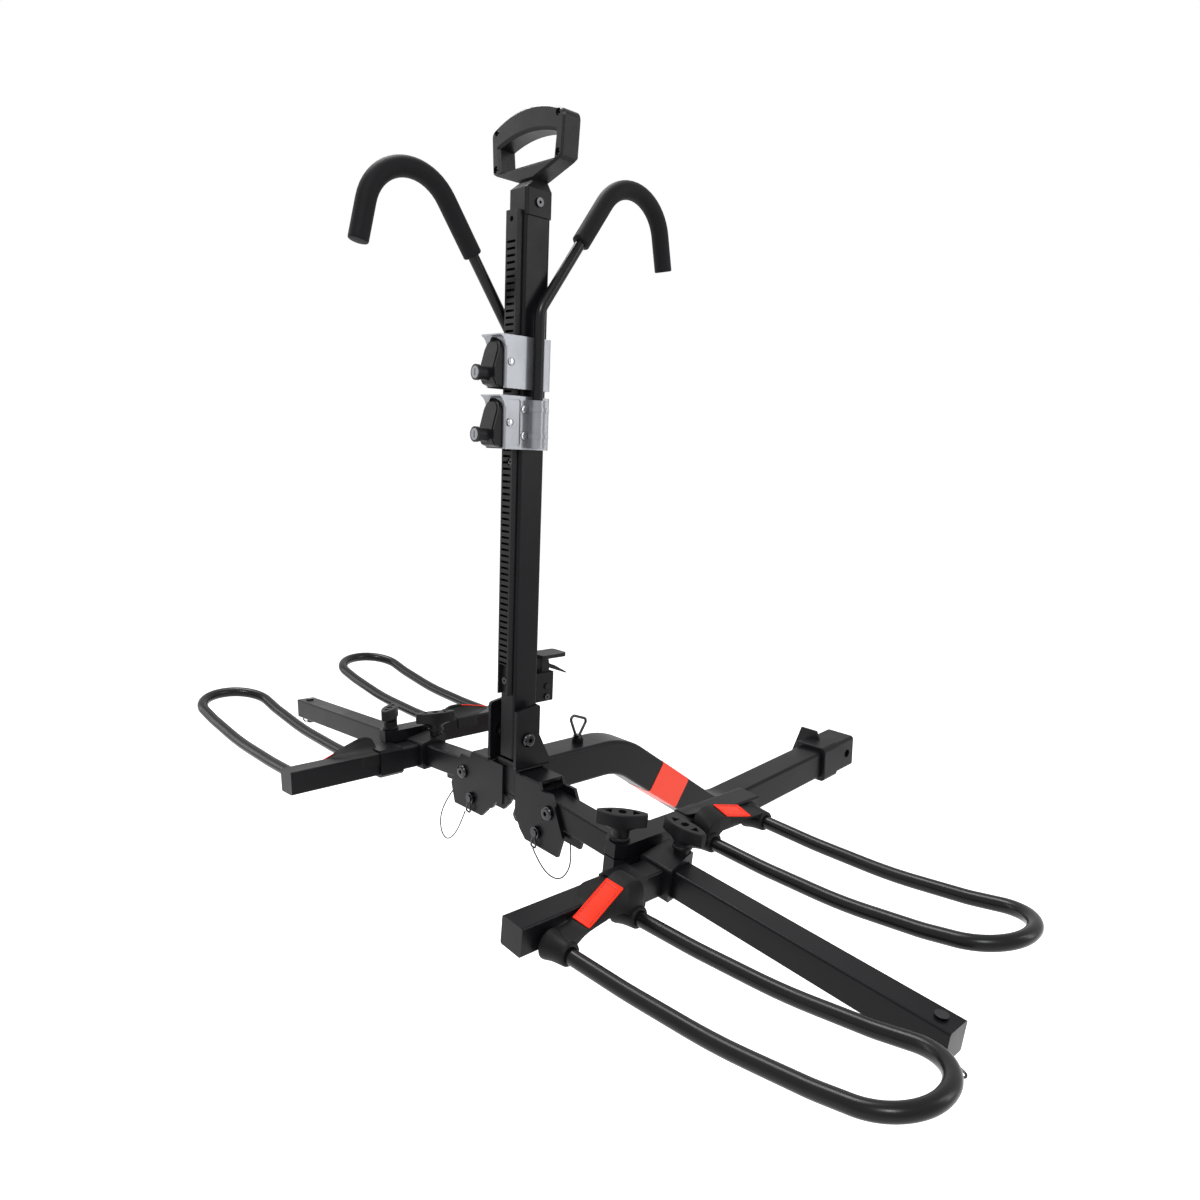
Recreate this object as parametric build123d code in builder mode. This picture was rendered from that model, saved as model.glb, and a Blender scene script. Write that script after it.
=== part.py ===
import os
from math import cos, radians, sin, tan

from build123d import *

os.makedirs("parts", exist_ok=True)

# The origin is the centre of the cross pin hole in the hitch receiver, +Y runs
# towards the vehicle, +X to the right-hand wheel trays, +Z is up.
# Hub values below are measured from the hub point, which lies on the axis of
# the level part of the stinger, under the mast.
hub_reach = 780.5
hub_rise = 122.0

# Clearances
fit_gap = 0.08
slide_gap = 0.4
soft_gap = 0.3
touch_gap = 0.1

# Stinger, a bent square tube, and the receiver round its tail
stinger_width = 50.8
stinger_wall = 4.8
stinger_corner = 5.0
stinger_front = -16.2
stinger_bend_radius = 110.0
stinger_top_bend = 174.0
stinger_low_bend_y = 407.0
stinger_low_bend_z = -156.9
tail_pitch = 5.34
tail_end = 14.0
hitch_pin_radius = 8.1
receiver_width = 60.0
receiver_start = -80.0
receiver_end = 20.0
receiver_corner = 6.0
lip_width = 67.0
lip_length = 42.0
chain_plate_y = -48.0
chain_plate_thickness = 4.0
chain_plate_reach = 62.0
chain_plate_rise = 44.0
pull_pin_y = 107.5
pull_pin_radius = 4.5
pull_pin_depth = 12.0
pull_pin_stand = 37.0
pin_collar_radius = 8.0
pin_collar_height = 7.0
pull_loop_wire = 2.0
band_thickness = 0.4
band_start = 279.0
band_length = 73.0

# Hub saddles: two ear plates and a top web for each arm
ear_thickness = 4.5
ear_inner = 16.6
web_top = 17.5
web_reach = 73.0
ear_top = 7.5
ear_reach = 100.0
ear_low_reach = 122.0
ear_low = -70.0
front_tab_reach = 2.5
front_tab_low = -38.0

# Arms
arm_droop = 4.2
arm_width = 32.0
arm_wall = 2.5
arm_corner = 2.5
arm_pivot_x = 92.7
arm_pivot_z = -17.3
arm_heel = 26.5
arm_length = 533.5
arm_doubler_thickness = 6.0
arm_doubler_reach = 52.0
end_stop_inset = 17.0
end_stop_head = 6.5
end_stop_shank = 4.0
end_boss_radius = 7.0
end_boss_drop = 9.0
clip_wire = 1.2
pivot_radius = 6.0
pivot_head = 9.5
pivot_head_height = 5.0

# Lock pins under the arm heels
lock_x = 72.0
lock_z = -50.0
lock_radius = 5.0
lock_head_radius = 8.0
lock_head_height = 4.0
lock_tip = 27.0
lock_ring = 11.0
lanyard_radius = 0.7

# Mast
mast_x = 30.0
mast_front = -18.0
mast_back = 20.0
mast_wall = 2.5
mast_corner = 4.0
mast_foot = 30.0
mast_top = 689.0
mast_pivot_y = -5.9
mast_pivot_z = 59.0
bracket_inner = 25.4
bracket_thickness = 5.0
bracket_front = -25.0
bracket_top = 102.0
spacer_radius = 11.0

# Ratchet strip on the front of the mast
strip_width = 21.0
strip_depth = 8.0
strip_web = 3.0
strip_rail = 2.5
strip_low = 116.0
strip_high = 694.0
tooth_pitch = 7.6
tooth_count = 67
tooth_start = 163.0
tooth_rise = 4.5
strip_hole_low = 134.0
strip_hole_high = 684.0
strip_hole_radius = 3.0
strip_stop_x = 4.8
strip_stop_z = 410.0
strip_stop_radius = 4.0

# Cap and handle
cap_x = 34.0
cap_front = -18.0
cap_back = 20.5
cap_height = 29.0
neck_height = 10.0
handle_front = -8.0
handle_split = 5.0
handle_back = 18.0
handle_half = 67.0
handle_foot_half = 62.0
handle_foot = 742.0
handle_shoulder = 790.0
handle_peak = 805.0
handle_rim = 15.0
handle_bar = 26.0
handle_sill = 745.0
handle_screw_radius = 4.0
handle_corner = 9.0
handle_bevel = 3.2
handle_edge = 2.4

# Fold latch behind the mast
latch_y = 50.0
latch_half = 12.0
latch_low = 100.0
latch_high = 139.0
latch_plate = 3.0
latch_pivot_y = 38.0
latch_pivot_z = 120.0
latch_pin_radius = 4.0
pad_low = 158.0
pad_thickness = 5.0
pad_front = 27.0
pad_back = 69.0
pad_half = 15.0

# Carriages that slide on the mast
carriage_outer = 19.0
carriage_front = -45.0
carriage_back = 23.0
upper_low = 495.0
upper_height = 60.0
lower_low = 425.0
lower_height = 62.0
hood_plate = 3.0
hood_reach = 7.5
hood_drop = 13.0
panel_depth = 1.2
panel_front = -42.0
panel_back = -21.5
clamp_wall = 3.0
band_rise = 1.2
band_height = 5.0
rivet_low = 16.4
rivet_high = 47.3
release_front = -58.0
release_pivot_y = -37.0
release_pin = 3.0
release_swing_gap = 1.5
release_back_gap = 1.2
release_relief = 1.0
release_margin = 3.5
barrel_rise = 15.5
barrel_radius = 9.0
barrel_tip = -74.0
key_radius = 7.0
rivet_radius = 4.2
rivet_y = -16.0

# Frame hooks
hook_x = 26.0
hook_bar_radius = 6.5
hook_sleeve_radius = 11.0
hook_slope = 54.8
hook_rise = 289.1
hook_drop_angle = 77.0
hook_top_radius = 55.0
hook_foot_radius = 28.0
hook_drop = 150.0
hook_sleeve_start = 102.6
right_hook_bend = 585.0
left_hook_bend = 557.0
right_hook_tail = 152.0
left_hook_tail = 57.0
hook_y = -1.7

# Sliding collars with the near trays
right_near_x = 280.0
left_near_x = -217.0
collar_half = 23.0
collar_low = 20.0
collar_high_front = 19.0
collar_high_back = 27.0
collar_skew = 11.0
near_tube_end = 218.7
near_tube_shift = -2.0
ferrule_start = 52.0
ferrule_end = 88.0
ferrule_wall = 4.0
near_knob_x = 6.0
near_knob_y = 12.0
near_knob_base = 31.0
near_knob_height = 28.0

# Far trays, each clamped over an arm by an upper bar and a lower jaw
right_far_x = 236.0
left_far_x = -257.0
far_top = 33.5
far_tube_end = 196.0
bar_front = -52.0
far_knob_y = -38.0
far_knob_height = 33.0
jaw_low = -27.0
jaw_back = 32.0
jaw_gap = 1.5
stud_radius = 5.0

# Wheel hoops and their straps
hoop_radius = 8.0
hoop_span = 101.0
hoop_length = 374.0
hoop_dip = -2.7
hoop_rise = 25.5
root_depth = 1.5
near_hoop_y = -135.5
near_hoop_z = -9.0
far_hoop_y = 126.5
far_hoop_z = 13.5
right_tray_pitch = 2.8
left_tray_pitch = 5.6
right_near_toe = 4.0
left_near_toe = -2.6
right_far_toe = 0.8
left_far_toe = -1.6
boot_radius = 11.5
boot_length = 24.0
strap_width = 25.0
strap_thickness = 3.0
tag_length = 54.0
tag_thickness = 1.2

# Clamp knobs
knob_half = 29.0
knob_thick = 21.0
knob_head = 15.0
knob_stem_radius = 9.6

# Named planes
hub_side = Plane(origin=(0, -hub_reach, hub_rise), x_dir=(0, 1, 0), z_dir=(1, 0, 0))
hub_front = Plane(origin=(0, -hub_reach, hub_rise), x_dir=(1, 0, 0), z_dir=(0, -1, 0))
hub_level = Plane(origin=(0, -hub_reach, hub_rise), x_dir=(1, 0, 0), z_dir=(0, 0, 1))
tail_dir = (0, cos(radians(tail_pitch)), sin(radians(tail_pitch)))
tail_cross = Plane(origin=(0, 0, 0), x_dir=(-1, 0, 0), z_dir=tail_dir)
stinger_half = stinger_width / 2
arm_half = arm_width / 2


def slider_frame(distance, side):
    """Plane on an arm's axis: X along +X, tilted with the drooping arm."""
    drop = (abs(distance) - arm_pivot_x) * tan(radians(arm_droop))
    point = (distance, -hub_reach, hub_rise + arm_pivot_z - drop)
    slope = radians(arm_droop) * side
    return Plane(origin=point, x_dir=(cos(slope), 0, -sin(slope)), z_dir=(sin(slope), 0, cos(slope)))


right_arm_frame = slider_frame(arm_pivot_x, 1)
left_arm_frame = slider_frame(-arm_pivot_x, -1)
right_near_frame = slider_frame(right_near_x, 1)
left_near_frame = slider_frame(left_near_x, -1)
right_far_frame = slider_frame(right_far_x, 1)
left_far_frame = slider_frame(left_far_x, -1)

# Stinger tube
tail_point_y = hub_reach + tail_end * cos(radians(tail_pitch))
tail_point_z = -hub_rise + tail_end * sin(radians(tail_pitch))
low_bend_z = tail_point_z - (tail_point_y - stinger_low_bend_y) * tan(radians(tail_pitch))
with BuildPart() as stinger_tube:
    with BuildLine(hub_side) as stinger_path:
        FilletPolyline(
            (stinger_front, 0),
            (stinger_top_bend, 0),
            (stinger_low_bend_y, low_bend_z),
            (tail_point_y, tail_point_z),
            radius=stinger_bend_radius,
        )
    with BuildSketch(Plane(origin=stinger_path.wire() @ 0, x_dir=(1, 0, 0), z_dir=(0, 1, 0))):
        RectangleRounded(stinger_width, stinger_width, stinger_corner)
        inner = stinger_width - 2 * stinger_wall
        RectangleRounded(inner, inner, stinger_corner - 3, mode=Mode.SUBTRACT)
    sweep(path=stinger_path.wire())
    with BuildSketch(hub_level.offset(stinger_half - 1)):
        with Locations((0, pull_pin_y)):
            Circle(pin_collar_radius)
    extrude(amount=pin_collar_height + 1)
    with BuildSketch(hub_level.offset(stinger_half - stinger_wall - 2)):
        with Locations((0, pull_pin_y)):
            Circle(pull_pin_radius + fit_gap)
    extrude(amount=pin_collar_height + stinger_wall + 4, mode=Mode.SUBTRACT)
    with BuildSketch(Plane.YZ.offset(-stinger_width)):
        Circle(hitch_pin_radius)
    extrude(amount=2 * stinger_width, mode=Mode.SUBTRACT)

# Receiver: sleeve with a reinforcing lip and a chain plate
receiver_bore = stinger_width + 2 * touch_gap
with BuildPart() as receiver:
    with BuildSketch(tail_cross.offset(receiver_start)):
        RectangleRounded(receiver_width, receiver_width, receiver_corner)
    extrude(amount=receiver_end - receiver_start)
    with BuildSketch(tail_cross.offset(receiver_start)):
        RectangleRounded(lip_width, lip_width, receiver_corner + 3)
    extrude(amount=lip_length)
    fillet(receiver.faces().sort_by(Axis.Y)[0].outer_wire().edges(), 2)
    with BuildSketch(Plane.XZ.offset(-chain_plate_y)):
        Polygon(
            (-chain_plate_reach, -12),
            (-chain_plate_reach + 18, chain_plate_rise),
            (-10, chain_plate_rise),
            (0, receiver_width / 2 - 4),
            (-receiver_width / 2 + 4, -receiver_width / 2 + 8),
            align=None,
        )
    extrude(amount=chain_plate_thickness)
    with BuildSketch(tail_cross.offset(receiver_start - chain_plate_reach)):
        RectangleRounded(receiver_bore, receiver_bore, stinger_corner + touch_gap)
    extrude(amount=receiver_end - receiver_start + 2 * chain_plate_reach, mode=Mode.SUBTRACT)
    with BuildSketch(Plane.YZ.offset(-receiver_width)):
        Circle(hitch_pin_radius)
    extrude(amount=2 * receiver_width, mode=Mode.SUBTRACT)

# Plain coloured band round the descending part of the stinger
stinger_axis = stinger_path.wire()
band_at = band_start / stinger_axis.length
band_plane = Plane(origin=stinger_axis @ band_at, x_dir=(1, 0, 0), z_dir=stinger_axis % band_at)
with BuildPart() as red_band:
    with BuildSketch(band_plane):
        band_outer = stinger_width + 2 * band_thickness
        RectangleRounded(band_outer, band_outer, stinger_corner + band_thickness)
        RectangleRounded(stinger_width, stinger_width, stinger_corner, mode=Mode.SUBTRACT)
    extrude(amount=band_length)

# Pull pin with its wire loop on top of the stinger
with BuildPart() as pull_pin:
    with BuildSketch(hub_level.offset(stinger_half - pull_pin_depth)):
        with Locations((0, pull_pin_y)):
            Circle(pull_pin_radius)
    extrude(amount=pull_pin_stand - stinger_half + pull_pin_depth)
    with BuildSketch(hub_level.offset(stinger_half + pin_collar_height + soft_gap)):
        with Locations((0, pull_pin_y)):
            Circle(pin_collar_radius - 1.5)
    extrude(amount=3)
    with BuildLine(hub_side) as pull_loop_path:
        FilletPolyline(
            (pull_pin_y - 3, pull_pin_stand - 3),
            (pull_pin_y - 17.5, pull_pin_stand + 32),
            (pull_pin_y + 16.5, pull_pin_stand + 20),
            (pull_pin_y + 2, pull_pin_stand - 3),
            radius=5,
        )
    with BuildSketch(Plane(origin=pull_loop_path.wire() @ 0, z_dir=pull_loop_path.wire() % 0)):
        Circle(pull_loop_wire)
    sweep(path=pull_loop_path.wire())


def saddle(side):
    """Outline of one ear plate, as points on the hub's front plane."""
    inner = side * stinger_half
    return [
        (inner, web_top),
        (side * web_reach, web_top),
        (side * (web_reach + 4), ear_top),
        (side * (ear_reach - 2), ear_top),
        (side * ear_low_reach, -42),
        (side * (ear_low_reach - 9), ear_low),
        (side * 48, ear_low + 1.5),
        (side * 36, ear_low + 13),
        (inner, front_tab_low),
    ]


saddle_depth = ear_inner + ear_thickness
with BuildPart() as right_saddle:
    with BuildSketch(hub_front.offset(ear_inner)):
        Polygon(*saddle(1), align=None)
    with BuildSketch(hub_front.offset(-saddle_depth)):
        Polygon(*saddle(1), align=None)
    extrude(amount=ear_thickness)
    fillet(right_saddle.edges().filter_by(Axis.Y).group_by(Axis.X)[-1], 4)
    with BuildSketch(hub_front.offset(saddle_depth)):
        with Locations(((stinger_half + web_reach) / 2, web_top - ear_thickness / 2)):
            Rectangle(web_reach - stinger_half, ear_thickness)
    extrude(amount=-2 * saddle_depth)
    fillet(right_saddle.edges().filter_by(Axis.X).group_by(Axis.Z)[-1], 3)
    with BuildSketch(hub_front.offset(saddle_depth)):
        with Locations((arm_pivot_x, arm_pivot_z)):
            Circle(pivot_radius + fit_gap)
        with Locations((lock_x, lock_z)):
            Circle(lock_radius + fit_gap)
    extrude(amount=-2 * saddle_depth, mode=Mode.SUBTRACT)

with BuildPart() as left_saddle:
    mirror(right_saddle.part, about=Plane.YZ)
    with BuildSketch(hub_front.offset(ear_inner)):
        Polygon(
            (-stinger_half - 6, web_top),
            (-front_tab_reach, web_top),
            (-front_tab_reach, front_tab_low),
            (-16, front_tab_low),
            (-stinger_half, front_tab_low - 12),
            (-stinger_half - 6, front_tab_low - 14),
            align=None,
        )
    extrude(amount=ear_thickness)


def pivot_bolt_at(side):
    """Shank through both ears with a domed head in front and a nut behind."""
    with BuildPart() as bolt:
        with BuildSketch(hub_front.offset(saddle_depth)):
            with Locations((side * arm_pivot_x, arm_pivot_z)):
                Circle(pivot_radius)
        extrude(amount=-2 * saddle_depth - pivot_head_height - 3)
        with BuildSketch(hub_front.offset(saddle_depth)) as head:
            with Locations((side * arm_pivot_x, arm_pivot_z)):
                Circle(pivot_head)
        extrude(amount=pivot_head_height)
        fillet(bolt.faces().sort_by(Axis.Y)[0].edges(), pivot_head_height * 0.7)
        with BuildSketch(hub_front.offset(-saddle_depth)):
            with Locations((side * arm_pivot_x, arm_pivot_z)):
                RegularPolygon(pivot_head, 6)
        extrude(amount=-pivot_head_height)
        with BuildSketch(hub_front.offset(saddle_depth + pivot_head_height)):
            with Locations((side * arm_pivot_x, arm_pivot_z)):
                RegularPolygon(pivot_radius * 0.55, 6)
        extrude(amount=-pivot_head_height * 0.6, mode=Mode.SUBTRACT)
    return bolt.part


with BuildPart() as arm_pivot_bolts:
    add(pivot_bolt_at(1))
    add(pivot_bolt_at(-1))

# Wire bail under the stinger's near end
with BuildPart() as hub_bail:
    with BuildLine(hub_front.offset(ear_inner - 5)) as bail_path:
        FilletPolyline(
            (stinger_half - 5, -stinger_half),
            (stinger_half - 5, -stinger_half - 5),
            (13, -48),
            (18, -54),
            (46, -53),
            radius=3.5,
        )
    with BuildSketch(Plane(origin=bail_path.wire() @ 0, z_dir=bail_path.wire() % 0)):
        Circle(2.5)
    sweep(path=bail_path.wire())
    with BuildLine() as bail_end_path:
        end_point = bail_path.wire() @ 1
        Line(end_point, end_point + Vector(0, -5, 0))
    with BuildSketch(Plane(origin=bail_end_path.wire() @ 0, z_dir=(0, -1, 0))):
        Circle(2.5)
    sweep(path=bail_end_path.wire())


def lock_pin_at(side):
    """Headed pin through the ears, with a wire ring clip hanging on its head."""
    with BuildPart() as pin:
        with BuildSketch(hub_front.offset(saddle_depth + 6)):
            with Locations((side * lock_x, lock_z)):
                Circle(lock_radius)
        extrude(amount=-saddle_depth - 6 - lock_tip)
        chamfer(pin.faces().sort_by(Axis.Y)[-1].edges(), 1.5)
        with BuildSketch(hub_front.offset(saddle_depth + soft_gap)):
            with Locations((side * lock_x, lock_z)):
                Circle(lock_head_radius)
        extrude(amount=lock_head_height)
        with BuildLine(hub_front.offset(saddle_depth + 4.5)) as ring_path:
            FilletPolyline(
                (side * lock_x - 1, lock_z - 3),
                (side * lock_x - 4, lock_z - 12),
                (side * lock_x - 6, lock_z - 19),
                (side * lock_x + 4, lock_z - 20),
                (side * lock_x + 3, lock_z - 12),
                (side * lock_x + 1, lock_z - 3),
                radius=2.6,
            )
        with BuildSketch(Plane(origin=ring_path.wire() @ 0, z_dir=ring_path.wire() % 0)):
            Circle(clip_wire)
        sweep(path=ring_path.wire())
    return pin.part


with BuildPart() as right_lock_pin:
    add(lock_pin_at(1))

with BuildPart() as left_lock_pin:
    add(lock_pin_at(-1))


def lanyard(points, radii):
    """Thin cord along a route of straight runs and tangent arcs."""
    with BuildPart() as cord:
        with BuildLine() as route:
            FilletPolyline(*points, radius=radii)
        with BuildSketch(Plane(origin=route.wire() @ 0, z_dir=route.wire() % 0)):
            Circle(lanyard_radius)
        sweep(path=route.wire())
    section = 3.14159265 * lanyard_radius**2
    print("cord", round(route.wire().length, 1), [round(r, 1) for r in radii])
    print("  volume over section times length", round(cord.part.volume / section / route.wire().length, 4))
    return cord.part


def arc_radii(points):
    """Largest arcs that two neighbouring runs leave room for."""
    spots = [Vector(*p) for p in points]
    radii = []
    for before, corner, after in zip(spots, spots[1:], spots[2:]):
        turn = (corner - before).get_angle(after - corner)
        shorter = min((corner - before).length, (after - corner).length)
        radii.append(0.45 * shorter / tan(radians(turn) / 2))
    return radii


cord_y = -hub_reach - saddle_depth - 4.5
cord_z = hub_rise
right_route = [
    (lock_x + 1, cord_y - 2.15, cord_z + lock_z - 19.85),
    (lock_x + 18, cord_y - 6, cord_z + lock_z - 31),
    (lock_x + 38, cord_y - 6, cord_z + lock_z - 42),
    (lock_x + 58, cord_y - 4, cord_z + lock_z - 41),
    (lock_x + 68, cord_y + 1, cord_z + lock_z - 26),
    (lock_x + 65, cord_y + 7, cord_z + lock_z - 10),
    (lock_x + 54, cord_y + 14, cord_z + lock_z + 2),
]
left_route = [
    (-lock_x - 5, cord_y - 2.15, cord_z + lock_z - 19.3),
    (-lock_x - 12, cord_y - 6, cord_z + lock_z - 42),
    (-lock_x - 27, cord_y - 7, cord_z + lock_z - 64),
    (-lock_x - 47, cord_y - 6, cord_z + lock_z - 76),
    (-lock_x - 64, cord_y - 4, cord_z + lock_z - 66),
    (-lock_x - 68, cord_y - 1, cord_z + lock_z - 44),
    (-lock_x - 62, cord_y + 6, cord_z + lock_z - 21),
    (-lock_x - 53, cord_y + 14, cord_z + lock_z - 2),
]
with BuildPart() as right_lanyard:
    add(lanyard(right_route, arc_radii(right_route)))
with BuildPart() as left_lanyard:
    add(lanyard(left_route, arc_radii(left_route)))

# Mast bracket: two cheeks welded to the stinger's sides, and a foot pad
cheek_low = web_top + 2
with BuildPart() as mast_bracket:
    for cheek_x in (bracket_inner, -bracket_inner - bracket_thickness):
        with BuildSketch(hub_side.offset(cheek_x)) as cheek:
            Polygon(
                (bracket_front, cheek_low),
                (bracket_front, bracket_top - 3),
                (bracket_front + 38, bracket_top + 3),
                (bracket_front + 38, 63),
                (22.5, 44),
                (31, 28),
                (31, cheek_low),
                align=None,
            )
            fillet(cheek.vertices().sort_by(Axis.Z)[-2:], 5)
            with Locations((mast_pivot_y, mast_pivot_z)):
                Circle(pivot_radius + fit_gap, mode=Mode.SUBTRACT)
        extrude(amount=bracket_thickness)
    with BuildSketch(hub_level.offset(stinger_half)):
        with Locations((0, 15)):
            Rectangle(2 * bracket_inner, 11)
    extrude(amount=mast_foot - soft_gap - stinger_half)

# Mast pivot bolt with its two spacer sleeves
bracket_outer = bracket_inner + bracket_thickness
with BuildPart() as mast_pivot_bolt:
    with BuildSketch(hub_side.offset(-bracket_outer - pivot_head_height - 3)):
        with Locations((mast_pivot_y, mast_pivot_z)):
            Circle(pivot_radius)
    extrude(amount=2 * bracket_outer + pivot_head_height + 3)
    with BuildSketch(hub_side.offset(bracket_outer)):
        with Locations((mast_pivot_y, mast_pivot_z)):
            Circle(pivot_head)
    extrude(amount=pivot_head_height)
    fillet(mast_pivot_bolt.faces().sort_by(Axis.X)[-1].edges(), pivot_head_height * 0.7)
    with BuildSketch(hub_side.offset(bracket_outer + pivot_head_height)):
        with Locations((mast_pivot_y, mast_pivot_z)):
            RegularPolygon(pivot_radius * 0.55, 6)
    extrude(amount=-pivot_head_height * 0.6, mode=Mode.SUBTRACT)
    with BuildSketch(hub_side.offset(-bracket_outer - pivot_head_height)):
        with Locations((mast_pivot_y, mast_pivot_z)):
            RegularPolygon(pivot_head, 6)
    extrude(amount=pivot_head_height)
    for spacer_x in (mast_x / 2 + soft_gap, -bracket_inner + touch_gap):
        with BuildSketch(hub_side.offset(spacer_x)):
            with Locations((mast_pivot_y, mast_pivot_z)):
                Circle(spacer_radius)
        extrude(amount=bracket_inner - touch_gap - mast_x / 2 - soft_gap)

# Mast tube
mast_depth = mast_back - mast_front
mast_middle = (mast_front + mast_back) / 2
with BuildPart() as mast_tube:
    with BuildSketch(hub_level.offset(mast_foot)):
        with Locations((0, mast_middle)):
            RectangleRounded(mast_x, mast_depth, mast_corner)
            RectangleRounded(
                mast_x - 2 * mast_wall,
                mast_depth - 2 * mast_wall,
                mast_corner - mast_wall,
                mode=Mode.SUBTRACT,
            )
    extrude(amount=mast_top - mast_foot)
    with BuildSketch(hub_side.offset(-mast_x)):
        with Locations((mast_pivot_y, mast_pivot_z)):
            Circle(pivot_radius + fit_gap)
    extrude(amount=2 * mast_x, mode=Mode.SUBTRACT)

# Ratchet strip: channel with a run of saw teeth between two rails
strip_face = -mast_front
with BuildPart() as ratchet_strip:
    with BuildSketch(hub_front.offset(strip_face)):
        with Locations((0, (strip_low + strip_high) / 2)):
            Rectangle(strip_width, strip_high - strip_low)
    extrude(amount=strip_depth)
    with BuildSketch(hub_front.offset(strip_face + strip_depth)):
        with Locations((0, (strip_low + tooth_start - tooth_pitch) / 2)):
            Rectangle(strip_width - 2 * strip_rail, tooth_start - tooth_pitch - strip_low)
    extrude(amount=-(strip_depth - strip_web), mode=Mode.SUBTRACT)
    tooth_floor = strip_face + strip_web
    with BuildSketch(hub_side.offset(-strip_width / 2 + strip_rail)):
        with Locations(*[(0, tooth_start + tooth_pitch * i) for i in range(tooth_count)]):
            Polygon(
                (-tooth_floor, 0),
                (-tooth_floor - strip_depth, -tooth_rise * 1.25),
                (-tooth_floor - strip_depth, -tooth_pitch + 1.2),
                (-tooth_floor, -tooth_pitch + 1.2),
                align=None,
            )
    extrude(amount=strip_width - 2 * strip_rail, mode=Mode.SUBTRACT)
    with BuildSketch(hub_front.offset(strip_face + strip_depth)):
        with Locations((0, strip_hole_low), (0, strip_hole_high)):
            Circle(strip_hole_radius)
    extrude(amount=-strip_depth, mode=Mode.SUBTRACT)
    with BuildSketch(hub_front.offset(strip_face + strip_depth)):
        with Locations((strip_stop_x, strip_stop_z)):
            Circle(strip_stop_radius + soft_gap)
    extrude(amount=-(strip_depth - strip_web), mode=Mode.SUBTRACT)

# Cap on the mast, and its neck under the handle
cap_middle = (cap_front + cap_back) / 2
cap_top = mast_top + cap_height
neck_top = cap_top + neck_height
with BuildPart() as mast_cap:
    with BuildSketch(hub_level.offset(mast_top + touch_gap)):
        with Locations((0, cap_middle)):
            RectangleRounded(cap_x, cap_back - cap_front, 4)
    extrude(amount=cap_height - touch_gap)
    with BuildSketch(hub_level.offset(cap_top)):
        with Locations((0, cap_middle)):
            RectangleRounded(cap_x, cap_back - cap_front, 4)
    with BuildSketch(hub_level.offset(neck_top)):
        with Locations((0, handle_split)):
            RectangleRounded(cap_x - 6, handle_back - handle_front - 4, 3)
    loft()
    with BuildSketch(hub_front.offset(strip_face + strip_depth)):
        with Locations((0, mast_top)):
            Rectangle(strip_width + 2 * soft_gap, 2 * (strip_high - mast_top + soft_gap))
    extrude(amount=-strip_depth - touch_gap, mode=Mode.SUBTRACT)
    with BuildSketch(hub_side.offset(cap_x / 2)):
        with Locations((0, cap_top - 14)):
            Circle(2.6)
    extrude(amount=-8, mode=Mode.SUBTRACT)


def handle_outline():
    """Closed outline of the handle, with an arched top."""
    with BuildLine() as outline:
        Polyline(
            (handle_half, handle_shoulder),
            (handle_foot_half + 2, handle_foot + 3),
            (handle_foot_half - 4, handle_foot),
            (cap_x / 2 - 3, neck_top),
            (-cap_x / 2 + 3, neck_top),
            (-handle_foot_half + 4, handle_foot),
            (-handle_foot_half - 2, handle_foot + 3),
            (-handle_half, handle_shoulder),
        )
        ThreePointArc(
            (-handle_half, handle_shoulder), (0, handle_peak), (handle_half, handle_shoulder)
        )
    return outline.line


def handle_opening():
    """Closed outline of the hand opening."""
    inner = handle_half - handle_rim
    low = handle_foot_half - handle_rim + 2
    top = handle_shoulder - handle_bar + 7
    with BuildLine() as outline:
        Polyline((inner, top), (low, handle_sill), (-low, handle_sill), (-inner, top))
        ThreePointArc((-inner, top), (0, handle_peak - handle_bar), (inner, top))
    return outline.line


with BuildPart() as handle_front_shell:
    with BuildSketch(hub_front.offset(-handle_split + touch_gap / 2)) as front_face:
        add(make_face(handle_outline().edges(), mode=Mode.PRIVATE))
        fillet(front_face.vertices().group_by(Axis.Y)[-1], handle_corner)
        add(make_face(handle_opening().edges(), mode=Mode.PRIVATE), mode=Mode.SUBTRACT)
    extrude(amount=handle_split - handle_front - touch_gap / 2)
    chamfer(handle_front_shell.faces().sort_by(Axis.Y)[0].outer_wire().edges(), handle_edge)
    with BuildSketch(hub_front.offset(-handle_front)):
        add(make_face(handle_opening().edges(), mode=Mode.PRIVATE))
        offset(amount=handle_bevel)
    extrude(amount=-handle_bevel, taper=45, mode=Mode.SUBTRACT)
    with BuildSketch(hub_front.offset(-handle_front)):
        with Locations(
            (handle_half - 11, handle_shoulder - 1),
            (-handle_half + 11, handle_shoulder - 1),
            (handle_foot_half - 5, handle_foot + 7),
            (-handle_foot_half + 5, handle_foot + 7),
        ):
            Circle(handle_screw_radius)
    extrude(amount=-4, mode=Mode.SUBTRACT)

with BuildPart() as handle_rear_shell:
    with BuildSketch(hub_front.offset(-handle_split)) as rear_face:
        add(make_face(handle_outline().edges(), mode=Mode.PRIVATE))
        fillet(rear_face.vertices().group_by(Axis.Y)[-1], handle_corner)
        add(make_face(handle_opening().edges(), mode=Mode.PRIVATE), mode=Mode.SUBTRACT)
    extrude(amount=-(handle_back - handle_split))
    chamfer(handle_rear_shell.faces().sort_by(Axis.Y)[-1].edges(), handle_edge)

with BuildPart() as handle_screws:
    with BuildSketch(hub_front.offset(-handle_front - 4)):
        with Locations(
            (handle_half - 11, handle_shoulder - 1),
            (-handle_half + 11, handle_shoulder - 1),
            (handle_foot_half - 5, handle_foot + 7),
            (-handle_foot_half + 5, handle_foot + 7),
        ):
            Circle(handle_screw_radius - touch_gap)
            Circle(1.4, mode=Mode.SUBTRACT)
    extrude(amount=2)

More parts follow.
